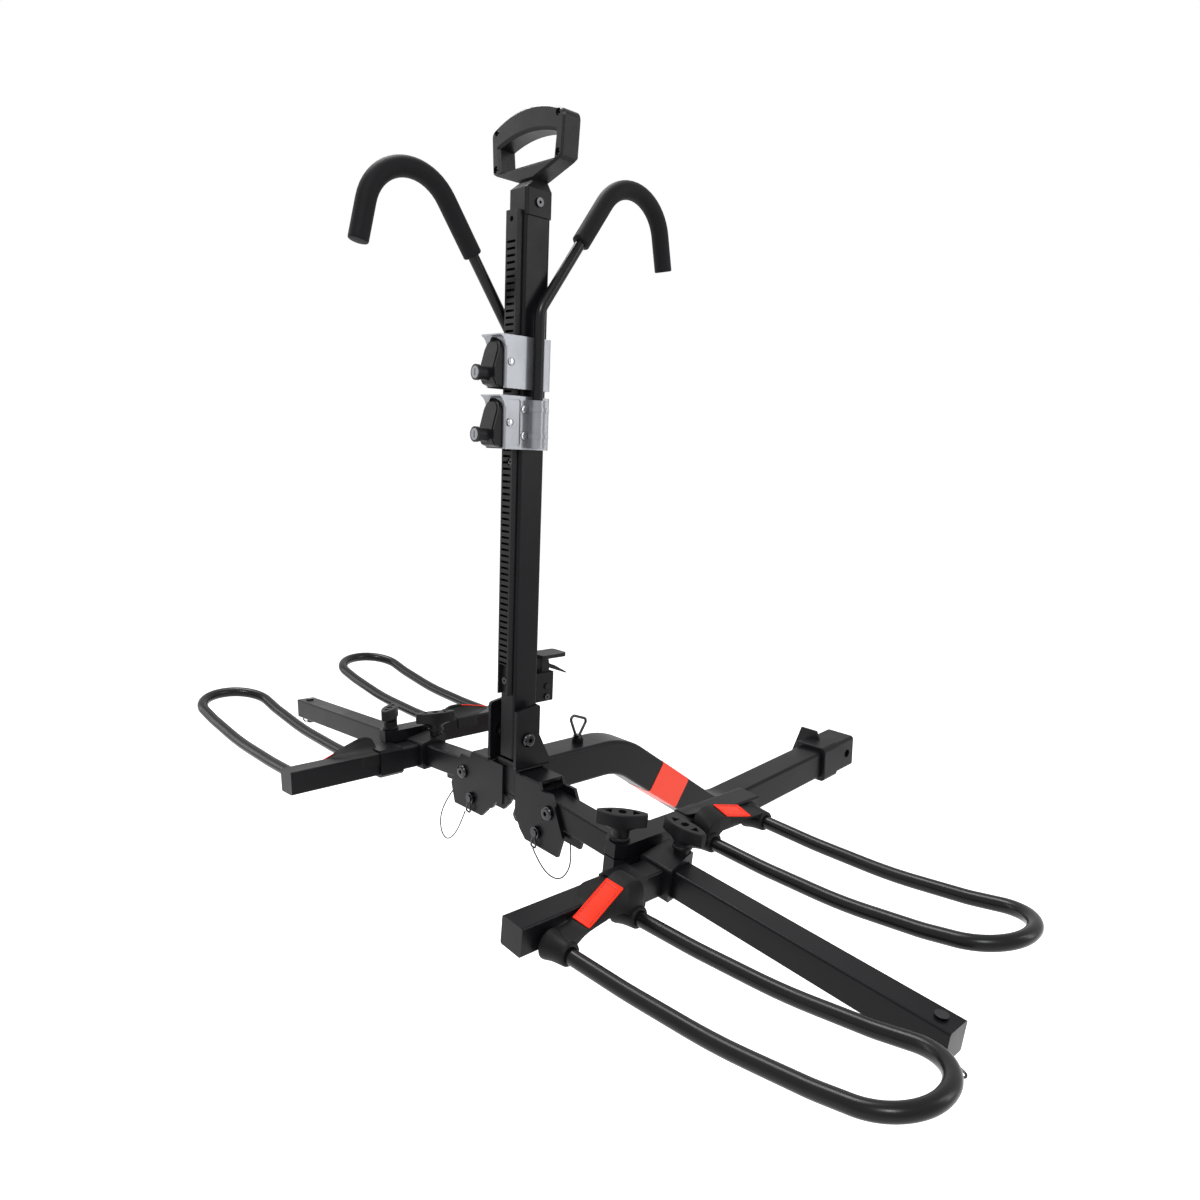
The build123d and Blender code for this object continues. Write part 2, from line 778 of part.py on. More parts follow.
# Latch bracket on the back of the mast and the sprung fold lever in it
with BuildPart() as latch_bracket:
    with BuildSketch(hub_level.offset(latch_low)):
        with Locations((0, (mast_back + latch_y) / 2)):
            Rectangle(2 * latch_half, latch_y - mast_back)
        with Locations((0, (mast_back + latch_y) / 2)):
            Rectangle(
                2 * (latch_half - latch_plate),
                latch_y - mast_back - 2 * latch_plate,
                mode=Mode.SUBTRACT,
            )
    extrude(amount=latch_high - latch_low)
    fillet(latch_bracket.edges().filter_by(Axis.Z).group_by(Axis.Y)[-1], 2)
    with BuildSketch(hub_side.offset(-latch_half)):
        with Locations((latch_pivot_y, latch_pivot_z)):
            Circle(latch_pin_radius + fit_gap)
        with Locations((latch_pivot_y, latch_low + 6)):
            Circle(2.5)
    extrude(amount=2 * latch_half, mode=Mode.SUBTRACT)

lever_half = latch_half - latch_plate - soft_gap
with BuildPart() as latch_lever:
    with BuildSketch(hub_side.offset(-lever_half)):
        Polygon(
            (latch_pivot_y - 6, latch_pivot_z - 8),
            (latch_pivot_y + 6, latch_pivot_z - 8),
            (latch_pivot_y + 6, latch_high + 5),
            (latch_y + 23, latch_high - 6),
            (latch_y + 25, latch_high - 5),
            (latch_y + 3, latch_high + 7.5),
            (latch_pivot_y + 6, latch_high + 11),
            (latch_pivot_y + 4, pad_low + 1),
            (latch_pivot_y - 6, pad_low + 1),
            align=None,
        )
    extrude(amount=2 * lever_half)
    with BuildSketch(hub_level.offset(pad_low)) as pad:
        with Locations((0, (pad_front + pad_back) / 2)):
            Rectangle(2 * pad_half, pad_back - pad_front)
        fillet(pad.vertices(), 5)
    extrude(amount=pad_thickness)
    with BuildSketch(hub_side.offset(-latch_half - 2)):
        with Locations((latch_pivot_y, latch_pivot_z)):
            Circle(latch_pin_radius)
    extrude(amount=2 * latch_half + 4)

# Screws of the mast: ratchet strip, cap side and latch
with BuildPart() as mast_screws:
    with BuildSketch(hub_front.offset(strip_face + strip_web)):
        with Locations((0, strip_hole_low)):
            Circle(strip_hole_radius + 1.6)
            Circle(1.6, mode=Mode.SUBTRACT)
    extrude(amount=2.4)
    with BuildSketch(hub_front.offset(strip_face + strip_web)):
        with Locations((strip_stop_x, strip_stop_z)):
            Circle(strip_stop_radius)
            Circle(1.6, mode=Mode.SUBTRACT)
    extrude(amount=3.6)
    with BuildSketch(hub_side.offset(cap_x / 2 - 8)):
        with Locations((0, cap_top - 14)):
            Circle(2.5)
    extrude(amount=8)
    with BuildSketch(hub_side.offset(cap_x / 2)):
        with Locations((0, cap_top - 14)):
            Circle(5)
            Circle(1.8, mode=Mode.SUBTRACT)
    extrude(amount=2.6)
    with BuildSketch(hub_side.offset(latch_half)):
        with Locations((latch_pivot_y, latch_low + 6)):
            Circle(4)
            Circle(1.4, mode=Mode.SUBTRACT)
    extrude(amount=2.2)


def carriage(low, height, hook_side, clamp_top):
    """Cast sleeve round the mast: a hooded mouth for the release and a hook clamp."""
    top = low + height
    inner_front = mast_front - strip_depth - slide_gap
    inner_half = mast_x / 2 + slide_gap
    wall_back = carriage_front + 3.5
    with BuildPart() as body:
        with BuildSketch(hub_level.offset(low)):
            with Locations((0, (carriage_front + carriage_back) / 2)):
                RectangleRounded(2 * carriage_outer, carriage_back - carriage_front, 2.5)
            with Locations((0, (inner_front + mast_back + slide_gap) / 2)):
                Rectangle(2 * inner_half, mast_back + slide_gap - inner_front, mode=Mode.SUBTRACT)
            with Locations((0, (carriage_front - 4 + inner_front) / 2)):
                Rectangle(2 * inner_half, inner_front - carriage_front + 6, mode=Mode.SUBTRACT)
        extrude(amount=height)
        with BuildSketch(hub_side.offset(-carriage_outer)):
            with BuildLine():
                Polyline(
                    (carriage_front, top - hood_drop),
                    (wall_back, top - hood_drop),
                    (wall_back, top - hood_plate),
                    (inner_front, top - hood_plate),
                    (inner_front, top),
                    (carriage_front - hood_reach, top),
                    (carriage_front - hood_reach, top - 1.5),
                )
                ThreePointArc(
                    (carriage_front - hood_reach, top - 1.5),
                    (carriage_front - hood_reach * 0.36, top - 1.5 - hood_drop * 0.28),
                    (carriage_front, top - hood_drop),
                )
            make_face()
        extrude(amount=2 * carriage_outer)
        with BuildSketch(hub_front.offset(-inner_front)):
            with Locations((0, top - hood_plate - 0.2 - inner_half)):
                Circle(inner_half)
            with Locations((0, top - hood_plate - 0.2 - inner_half - hood_drop / 2)):
                Rectangle(2 * inner_half, hood_drop)
        extrude(amount=inner_front - carriage_front + 2 * hood_reach, mode=Mode.SUBTRACT)
        with BuildSketch(hub_level.offset(low + 2)):
            with Locations((hook_side * hook_x, hook_y)):
                Circle(hook_bar_radius + clamp_wall)
            with Locations((hook_side * (carriage_outer + 3.5), hook_y)):
                Rectangle(7, 2 * (hook_bar_radius + clamp_wall))
            with Locations((0, hook_y)):
                Rectangle(2 * carriage_outer, 60, mode=Mode.SUBTRACT)
        extrude(amount=clamp_top - low - 2)
        for band_z in (low + rivet_low, low + rivet_high):
            with BuildSketch(hub_level.offset(band_z - band_height / 2)):
                with Locations((hook_side * hook_x, hook_y)):
                    Circle(hook_bar_radius + clamp_wall + band_rise)
                with Locations((hook_side * (carriage_outer + band_rise / 2), hook_y / 2 + 9)):
                    Rectangle(band_rise, 2 * (carriage_back - 9) - hook_y - 3)
                with Locations((0, hook_y)):
                    Rectangle(2 * carriage_outer, 60, mode=Mode.SUBTRACT)
            extrude(amount=band_height)
        with BuildSketch(hub_side.offset(hook_side * carriage_outer)):
            with Locations(((panel_front + panel_back) / 2, low + height / 2)):
                RectangleRounded(panel_back - panel_front, height - 8, 3)
        extrude(amount=-hook_side * panel_depth, mode=Mode.SUBTRACT)
        with BuildSketch(hub_level.offset(low)):
            with Locations((hook_side * hook_x, hook_y)):
                Circle(hook_bar_radius + touch_gap)
        extrude(amount=height, mode=Mode.SUBTRACT)
        with BuildSketch(hub_side.offset(-carriage_outer)):
            with Locations((release_pivot_y, low + height / 2)):
                Circle(release_pin + fit_gap)
        extrude(amount=2 * carriage_outer, mode=Mode.SUBTRACT)
    return body.part


with BuildPart() as lower_carriage:
    add(carriage(lower_low, lower_height, 1, lower_low + lower_height - 4))
with BuildPart() as upper_carriage:
    add(carriage(upper_low, upper_height, -1, left_hook_bend - hook_foot_radius / 2))


def release_layer(low, height, width, relief):
    """One layer of the lever: its side profile cut to an arched front outline."""
    top = low + height - hood_plate - release_swing_gap
    spring = top - mast_x / 2 + touch_gap
    back = mast_front - strip_depth - release_back_gap
    front = release_front + relief
    with BuildPart() as layer:
        with BuildSketch(hub_side.offset(-width)):
            Polygon(
                (front + 4, low + 4),
                (front + 13, low + 1),
                (back - 5, low + 3),
                (back, low + height / 2),
                (back, top),
                (carriage_front, top),
                (carriage_front + relief - 4, top - 4),
                (front, low + 22),
                (front, low + 11),
                align=None,
            )
        extrude(amount=2 * width)
        with BuildSketch(hub_front.offset(-back)):
            with Locations((0, spring)):
                Circle(width)
            with Locations((0, (low + spring) / 2)):
                Rectangle(2 * width, spring - low)
        extrude(amount=back - release_front + 2, mode=Mode.INTERSECT)
    return layer.part


def release(low, height):
    """Moulded release lever with an arched face and a lock barrel, hung on a cross pin."""
    pivot_z = low + height / 2
    barrel_z = low + barrel_rise
    half = mast_x / 2 - touch_gap
    with BuildPart() as lever:
        add(release_layer(low, height, half, release_relief))
        add(release_layer(low, height, half - release_margin, 0))
        with BuildSketch(hub_front.offset(-release_front - 4)):
            with Locations((0, barrel_z)):
                Circle(barrel_radius - 0.8)
        extrude(amount=release_front + 4 - barrel_tip)
        with BuildSketch(hub_front.offset(-barrel_tip - 4)):
            with Locations((0, barrel_z)):
                Circle(barrel_radius)
        extrude(amount=4)
        with BuildSketch(hub_front.offset(-barrel_tip)):
            with Locations((0, barrel_z)):
                Circle(key_radius + fit_gap)
        extrude(amount=-9, mode=Mode.SUBTRACT)
        pin_end = carriage_outer + touch_gap
        with BuildSketch(hub_side.offset(-pin_end)):
            with Locations((release_pivot_y, pivot_z)):
                Circle(release_pin)
        extrude(amount=2 * pin_end)
        for face_x, direction in ((pin_end, 1), (-pin_end, -1)):
            with BuildSketch(hub_side.offset(face_x)):
                with Locations((release_pivot_y, pivot_z)):
                    Circle(release_pin + 1)
            extrude(amount=1.3 * direction)
    return lever.part


def key_plug(low):
    """Lock plug with a key slot, seated in the barrel."""
    with BuildPart() as plug:
        with BuildSketch(hub_front.offset(-barrel_tip + 0.4)):
            with Locations((0, low + barrel_rise)):
                Circle(key_radius)
        extrude(amount=-9)
        with BuildSketch(hub_front.offset(-barrel_tip + 0.4)):
            with Locations((0, low + barrel_rise)):
                Rectangle(1.4, 8)
        extrude(amount=-4, mode=Mode.SUBTRACT)
    return plug.part


with BuildPart() as lower_release:
    add(release(lower_low, lower_height))
with BuildPart() as upper_release:
    add(release(upper_low, upper_height))
with BuildPart() as lower_key_plug:
    add(key_plug(lower_low))
with BuildPart() as upper_key_plug:
    add(key_plug(upper_low))


def carriage_rivets(low, side):
    """Button heads on the cheek that carries the hook clamp."""
    spots = [(rivet_y, low + rivet_high), (rivet_y, low + rivet_low)]
    with BuildPart() as heads:
        with BuildSketch(hub_side.offset(side * carriage_outer)):
            with Locations(*spots):
                Circle(rivet_radius)
        extrude(amount=1.6 * side)
    return heads.part


with BuildPart() as lower_rivets:
    add(carriage_rivets(lower_low, 1))
with BuildPart() as upper_rivets:
    add(carriage_rivets(upper_low, -1))


def hook_path(bend_z, lean, tail):
    """Route of a frame hook: a straight foot, a long rise and a hooked end."""
    slope = radians(hook_slope)
    drop = radians(hook_drop_angle)
    corner = (lean * hook_rise * cos(slope), hook_rise * sin(slope))
    tip = (corner[0] + lean * hook_drop * cos(drop), corner[1] - hook_drop * sin(drop))
    points = [(hook_y, bend_z - tail), (hook_y, bend_z)]
    points += [(hook_y + corner[0], bend_z + corner[1]), (hook_y + tip[0], bend_z + tip[1])]
    return points


def hook_bar(bend_z, lean, side, tail):
    points = hook_path(bend_z, lean, tail)
    with BuildPart() as bar:
        with BuildLine(hub_side.offset(side * hook_x)) as path:
            FilletPolyline(*points, radius=[hook_foot_radius, hook_top_radius])
        with BuildSketch(Plane(origin=path.wire() @ 0, z_dir=(0, 0, 1))):
            Circle(hook_bar_radius)
        sweep(path=path.wire())
    return bar.part


def hook_sleeve(bend_z, lean, side):
    """Foam sleeve over the upper half of a hook, closed at its rounded tip."""
    points = hook_path(bend_z, lean, right_hook_tail)
    slope = radians(hook_slope)
    start = (
        points[1][0] + lean * hook_sleeve_start * cos(slope),
        points[1][1] + hook_sleeve_start * sin(slope),
    )
    with BuildPart() as sleeve:
        with BuildLine(hub_side.offset(side * hook_x)) as path:
            FilletPolyline(start, points[2], points[3], radius=hook_top_radius)
        with BuildSketch(Plane(origin=path.wire() @ 0, z_dir=path.wire() % 0)):
            Circle(hook_sleeve_radius)
        sweep(path=path.wire())
        tip = Plane(origin=path.wire() @ 1, z_dir=path.wire() % 1)
        with BuildSketch(tip):
            Circle(hook_sleeve_radius)
        extrude(amount=9)
        fillet(sleeve.faces().filter_by(GeomType.PLANE).sort_by(Axis.Z)[0].edges(), 7)
        with BuildLine(hub_side.offset(side * hook_x)) as bore_path:
            FilletPolyline(start, points[2], points[3], radius=hook_top_radius)
        with BuildSketch(Plane(origin=bore_path.wire() @ 0, z_dir=bore_path.wire() % 0)):
            Circle(hook_bar_radius + touch_gap)
        sweep(path=bore_path.wire(), mode=Mode.SUBTRACT)
    return sleeve.part


with BuildPart() as right_hook_bar:
    add(hook_bar(right_hook_bend, 1, 1, right_hook_tail))
with BuildPart() as left_hook_bar:
    add(hook_bar(left_hook_bend, -1, -1, left_hook_tail))
with BuildPart() as right_hook_sleeve:
    add(hook_sleeve(right_hook_bend, 1, 1))
with BuildPart() as left_hook_sleeve:
    add(hook_sleeve(left_hook_bend, -1, -1))

# Arm: closed square tube with a heel, a doubler strip and a pivot bore
with BuildPart() as arm_blank:
    with BuildSketch(Plane.YZ.offset(-arm_heel)):
        RectangleRounded(arm_width, arm_width, arm_corner)
    extrude(amount=arm_heel + arm_length)
    with BuildSketch(Plane.YZ.offset(-arm_heel)):
        bore = arm_width - 2 * arm_wall
        Rectangle(bore, bore)
    extrude(amount=arm_heel + arm_length - 3, mode=Mode.SUBTRACT)
    with BuildSketch(Plane.XY.offset(-arm_half)):
        with Locations(((arm_doubler_reach - 20) / 2, 0)):
            Rectangle(arm_doubler_reach + 20, arm_width - 4)
    extrude(amount=-arm_doubler_thickness)
    with BuildSketch(Plane.XZ.offset(-arm_half)):
        Circle(pivot_radius + fit_gap)
    extrude(amount=arm_width, mode=Mode.SUBTRACT)
    with BuildSketch(Plane.XY.offset(-arm_half)):
        with Locations((arm_length - end_stop_inset, 0)):
            Circle(end_stop_shank + fit_gap)
    extrude(amount=arm_width, mode=Mode.SUBTRACT)

# End stop: button-head bolt through the arm, a nut boss below and a wire clip
with BuildPart() as end_stop_blank:
    with BuildSketch(Plane.XY.offset(arm_half)):
        with Locations((arm_length - end_stop_inset, 0)):
            Circle(end_stop_head)
    extrude(amount=2.6)
    with BuildSketch(Plane.XY.offset(arm_half)):
        with Locations((arm_length - end_stop_inset, 0)):
            Circle(end_stop_shank)
    extrude(amount=-arm_width)
    with BuildSketch(Plane.XY.offset(-arm_half)):
        with Locations((arm_length - end_stop_inset, 0)):
            Circle(end_boss_radius)
    extrude(amount=-end_boss_drop)
    with BuildLine(Plane.XZ) as clip_path:
        clip_x = arm_length - end_stop_inset
        FilletPolyline(
            (clip_x, -arm_half - 4),
            (arm_length + 3, -arm_half - 3),
            (arm_length + 18, -arm_half - 8),
            (arm_length + 10, -arm_half - 13),
            (clip_x, -arm_half - 7),
            radius=2.6,
        )
    with BuildSketch(Plane(origin=clip_path.wire() @ 0, z_dir=clip_path.wire() % 0)):
        Circle(clip_wire)
    sweep(path=clip_path.wire())

with BuildPart() as right_arm_tube:
    add(arm_blank.part.moved(right_arm_frame.location))
with BuildPart() as right_end_stop:
    add(end_stop_blank.part.moved(right_arm_frame.location))
with BuildPart() as left_arm_tube:
    mirror(right_arm_tube.part, about=Plane.YZ)
with BuildPart() as left_end_stop:
    mirror(right_end_stop.part, about=Plane.YZ)

# Collar that slides on an arm, with a tilted clamp top and a skewed end
collar_bore = arm_width + 2 * slide_gap
with BuildPart() as collar_blank:
    with BuildSketch(Plane.YZ.offset(-collar_half)) as collar_profile:
        Polygon(
            (-collar_half, -collar_low),
            (collar_half, -collar_low),
            (collar_half, collar_high_back),
            (-collar_half, collar_high_front),
            align=None,
        )
        fillet(collar_profile.vertices(), 3)
    extrude(amount=2 * collar_half)
    with BuildSketch(Plane.XY.offset(-2 * collar_low)):
        Polygon(
            (collar_half, -collar_half),
            (collar_half + 20, -collar_half),
            (collar_half + 20, collar_half + 1),
            (collar_half - 2 * collar_half * tan(radians(collar_skew)), collar_half + 1),
            align=None,
        )
    extrude(amount=4 * collar_low, mode=Mode.SUBTRACT)
    with BuildSketch(Plane.XY.offset(arm_half + 2)):
        with Locations((near_knob_x, near_knob_y)):
            Circle(knob_stem_radius - 0.6)
    extrude(amount=near_knob_base - soft_gap - arm_half - 2)
    with BuildSketch(Plane.YZ.offset(-2 * collar_half)):
        Rectangle(collar_bore, collar_bore)
    extrude(amount=4 * collar_half, mode=Mode.SUBTRACT)
    with BuildSketch(Plane.XY.offset(arm_half)):
        with Locations((near_knob_x, near_knob_y)):
            Circle(stud_radius + fit_gap)
    extrude(amount=near_knob_base, mode=Mode.SUBTRACT)

# Near tray tube: closed square tube with the ferrule that carries the hoop's root
with BuildPart() as near_tube_blank:
    with BuildSketch(Plane.XZ.offset(collar_half)):
        with Locations((near_tube_shift, 0)):
            RectangleRounded(arm_width, arm_width, arm_corner)
    extrude(amount=near_tube_end - collar_half)
    with BuildSketch(Plane.XZ.offset(ferrule_start)) as ferrule:
        with Locations((near_tube_shift, 0)):
            Rectangle(arm_width + 2 * ferrule_wall, arm_width + 2 * ferrule_wall)
        chamfer(ferrule.vertices(), 4)
    extrude(amount=ferrule_end - ferrule_start)
    with BuildSketch(Plane.XZ.offset(collar_half)):
        with Locations((near_tube_shift, 0)):
            bore = arm_width - 2 * arm_wall
            Rectangle(bore, bore)
    extrude(amount=near_tube_end - collar_half - 3, mode=Mode.SUBTRACT)

# Far tray tube: thin bar over the arm, full square tube beyond it
bar_thickness = far_top - arm_half - slide_gap
far_middle = far_top - arm_half
with BuildPart() as far_bar_blank:
    with BuildSketch(Plane.XY.offset(far_top - bar_thickness)) as bar_plan:
        with Locations((0, (bar_front + arm_half) / 2 + 4)):
            Rectangle(arm_width, arm_half - bar_front + 8)
        chamfer(bar_plan.vertices().group_by(Axis.Y)[0], 8)
    extrude(amount=bar_thickness)
    with BuildSketch(Plane.XZ.offset(-arm_half - slide_gap)):
        with Locations((0, far_middle)):
            RectangleRounded(arm_width, arm_width, arm_corner)
    extrude(amount=-(far_tube_end - arm_half - slide_gap))
    with BuildSketch(Plane.XZ.offset(-arm_half - slide_gap - 6)):
        with Locations((0, far_middle)):
            bore = arm_width - 2 * arm_wall
            Rectangle(bore, bore)
    extrude(amount=-(far_tube_end - arm_half - slide_gap - 9), mode=Mode.SUBTRACT)
    with BuildSketch(Plane.XY.offset(far_top)):
        with Locations((0, far_knob_y)):
            Circle(stud_radius + fit_gap)
    extrude(amount=-bar_thickness, mode=Mode.SUBTRACT)

# Lower jaw that hooks under the arm and meets the far tube behind it
jaw_top = far_top - bar_thickness - jaw_gap
with BuildPart() as far_jaw_blank:
    with BuildSketch(Plane.YZ.offset(-arm_half)):
        Polygon(
            (bar_front, jaw_top),
            (bar_front, jaw_low),
            (jaw_back, jaw_low),
            (jaw_back, far_middle - arm_half),
            (arm_half + slide_gap, far_middle - arm_half),
            (arm_half + slide_gap, -arm_half - slide_gap),
            (-arm_half - slide_gap, -arm_half - slide_gap),
            (-arm_half - slide_gap, jaw_top),
            align=None,
        )
    extrude(amount=arm_width)
    chamfer(far_jaw_blank.edges().filter_by(Axis.Z).group_by(Axis.Y)[0], 8)
    with BuildSketch(Plane.XY.offset(jaw_top)):
        with Locations((0, far_knob_y)):
            Circle(stud_radius + fit_gap)
    extrude(amount=-24, mode=Mode.SUBTRACT)


# Clamp knob: lens-shaped head with pockets and a hex recess, on a stem and stud
def knob(height, stud_length):
    head_low = height - knob_head
    with BuildPart() as piece:
        with BuildSketch(Plane.XY.offset(head_low)) as lens:
            with BuildLine():
                ThreePointArc((-knob_half, 3.5), (0, knob_thick / 2), (knob_half, 3.5))
                Line((knob_half, 3.5), (knob_half, -3.5))
                ThreePointArc((knob_half, -3.5), (0, -knob_thick / 2), (-knob_half, -3.5))
                Line((-knob_half, -3.5), (-knob_half, 3.5))
            make_face()
            fillet(lens.vertices(), 2)
        extrude(amount=knob_head)
        fillet(piece.faces().sort_by(Axis.Z)[-1].edges(), 1.6)
        with BuildSketch(Plane.XY):
            Circle(knob_stem_radius)
        extrude(amount=head_low, taper=2)
        with BuildSketch(Plane.XY.offset(height)):
            RegularPolygon(5.2, 6)
            with Locations(Location((-15, 0), 180), Location((15, 0), 0)):
                RegularPolygon(6, 3)
        extrude(amount=-6, mode=Mode.SUBTRACT)
        with BuildSketch(Plane.XY):
            Circle(stud_radius)
        extrude(amount=-stud_length)
    return piece.part


near_knob = knob(near_knob_height, near_knob_base - arm_half - 1)
far_knob = knob(far_knob_height, bar_thickness + jaw_gap + 18)


# Wheel hoop: round bar bent to a U that rises towards its outer end
def hoop_bar(radius, toe, pitch):
    half = hoop_span / 2
    points = [
        (-root_depth, -half, 0),
        (hoop_length * 0.27, -half - 0.6, hoop_dip),
        (hoop_length * 0.54, -half - 1.2, hoop_dip + 1.5),
        (hoop_length * 0.78, -half - 1.2, hoop_rise * 0.38),
        (hoop_length, -half - 1.2, hoop_rise),
        (hoop_length, half + 1.2, hoop_rise),
        (hoop_length * 0.78, half + 1.2, hoop_rise * 0.38),
        (hoop_length * 0.54, half + 1.2, hoop_dip + 1.5),
        (hoop_length * 0.27, half + 0.6, hoop_dip),
        (-root_depth, half, 0),
    ]
    bends = [600, 600, 200, half, half, 200, 600, 600]
    with BuildPart() as bar:
        with BuildLine() as path:
            FilletPolyline(*points, radius=bends)
        with BuildSketch(Plane(origin=path.wire() @ 0, z_dir=path.wire() % 0)):
            Circle(radius)
        sweep(path=path.wire())
    return bar.part.rotate(Axis.Y, -pitch).rotate(Axis.Z, toe)


# Strap: rubber boots on both roots of a hoop, the ribbon between them and its tag
def strap(outward, toe, pitch):
    """Ribbon and tag over the two roots; outward is -1 when it falls towards -Y."""
    half = hoop_span / 2
    crest = (-outward * (half - 12), 36)
    low_y = outward * half
    high_y = -outward * half
    with BuildPart() as body:
        with BuildSketch(Plane.YZ.offset(-root_depth)):
            with Locations((half, 0), (-half, 0)):
                Circle(boot_radius)
        extrude(amount=boot_length + root_depth)
        with BuildLine(Plane.YZ.offset(soft_gap + 1)) as ribbon_path:
            FilletPolyline(
                (low_y, boot_radius - 2),
                (low_y - outward * 9, boot_radius + 1),
                crest,
                (high_y - outward * 2, 22),
                (high_y, boot_radius - 2),
                radius=[4, 9, 8],
            )
        ribbon_start = ribbon_path.wire() % 0
        with BuildSketch(Plane(origin=ribbon_path.wire() @ 0, x_dir=(1, 0, 0), z_dir=ribbon_start)):
            with Locations((strap_width / 2, 0)):
                Rectangle(strap_width, strap_thickness)
        sweep(path=ribbon_path.wire())
        slope_start = Vector(soft_gap + 1 + strap_width / 2, low_y - outward * 9, boot_radius + 1)
        slope_end = Vector(soft_gap + 1 + strap_width / 2, crest[0], crest[1])
        slope = (slope_end - slope_start).normalized()
        tag_face = slope.cross(Vector(1, 0, 0)) * outward
        tag_spot = (slope_start + slope_end) * 0.5 + tag_face * (strap_thickness / 2 - 0.3)
        with BuildSketch(Plane(origin=tag_spot, x_dir=(1, 0, 0), z_dir=tag_face)) as tag:
            RectangleRounded(strap_width + 1, tag_length, 2)
        extrude(amount=tag_thickness + 0.3)
    turned = body.part.rotate(Axis.Y, -pitch).rotate(Axis.Z, toe)
    return turned - hoop_bar(hoop_radius + touch_gap / 2, toe, pitch)


def placed(blank, frame, point):
    """Blank moved to a point of a slider frame."""
    return blank.moved(Location(point)).moved(frame.location)


with BuildPart() as right_collar:
    add(placed(collar_blank.part, right_near_frame, (0, 0, 0)))
with BuildPart() as left_collar:
    add(placed(collar_blank.part, left_near_frame, (0, 0, 0)))
with BuildPart() as right_near_tube:
    add(placed(near_tube_blank.part, right_near_frame, (0, 0, 0)))
with BuildPart() as left_near_tube:
    add(placed(near_tube_blank.part, left_near_frame, (0, 0, 0)))
with BuildPart() as right_far_bar:
    add(placed(far_bar_blank.part, right_far_frame, (0, 0, 0)))
with BuildPart() as left_far_bar:
    add(placed(far_bar_blank.part, left_far_frame, (0, 0, 0)))
with BuildPart() as right_far_jaw:
    add(placed(far_jaw_blank.part, right_far_frame, (0, 0, 0)))
with BuildPart() as left_far_jaw:
    add(placed(far_jaw_blank.part, left_far_frame, (0, 0, 0)))


def trimmed(piece, tube):
    """Piece cut back to a tube's faces, without the chips left inside its wall."""
    with BuildPart() as body:
        add(piece)
        add(tube.part, mode=Mode.SUBTRACT)
    return body.part.solids().sort_by(SortBy.VOLUME)[-1]


# Hoops and straps, trimmed to the faces of the tray tubes they grow from
right_near_root = (arm_half + near_tube_shift, near_hoop_y, near_hoop_z)
left_near_root = (near_tube_shift - arm_half, near_hoop_y, near_hoop_z)
right_far_root = (arm_half, far_hoop_y, far_hoop_z)
left_far_root = (-arm_half, far_hoop_y, far_hoop_z)
with BuildPart() as right_near_hoop:
    bar = hoop_bar(hoop_radius, right_near_toe, right_tray_pitch)
    add(trimmed(placed(bar, right_near_frame, right_near_root), right_near_tube))
with BuildPart() as right_far_hoop:
    bar = hoop_bar(hoop_radius, right_far_toe, right_tray_pitch)
    add(trimmed(placed(bar, right_far_frame, right_far_root), right_far_bar))
with BuildPart() as left_near_hoop:
    bar = hoop_bar(hoop_radius, left_near_toe, left_tray_pitch).mirror(Plane.YZ)
    add(trimmed(placed(bar, left_near_frame, left_near_root), left_near_tube))
with BuildPart() as left_far_hoop:
    bar = hoop_bar(hoop_radius, left_far_toe, left_tray_pitch).mirror(Plane.YZ)
    add(trimmed(placed(bar, left_far_frame, left_far_root), left_far_bar))
with BuildPart() as right_near_strap:
    band = strap(-1, right_near_toe, right_tray_pitch)
    add(trimmed(placed(band, right_near_frame, right_near_root), right_near_tube))
with BuildPart() as right_far_strap:
    band = strap(1, right_far_toe, right_tray_pitch)
    add(trimmed(placed(band, right_far_frame, right_far_root), right_far_bar))
with BuildPart() as left_near_strap:
    band = strap(-1, left_near_toe, left_tray_pitch).mirror(Plane.YZ)
    add(trimmed(placed(band, left_near_frame, left_near_root), left_near_tube))
with BuildPart() as left_far_strap:
    band = strap(1, left_far_toe, left_tray_pitch).mirror(Plane.YZ)
    add(trimmed(placed(band, left_far_frame, left_far_root), left_far_bar))

knob_point = (near_knob_x, near_knob_y, near_knob_base)
with BuildPart() as right_near_knob:
    add(placed(near_knob, right_near_frame, knob_point))
with BuildPart() as left_near_knob:
    add(placed(near_knob.rotate(Axis.Z, 70), left_near_frame, knob_point))
with BuildPart() as right_far_knob:
    add(placed(far_knob.rotate(Axis.Z, 45), right_far_frame, (0, far_knob_y, far_top + soft_gap)))
with BuildPart() as left_far_knob:
    add(placed(far_knob.rotate(Axis.Z, -45), left_far_frame, (0, far_knob_y, far_top + soft_gap)))

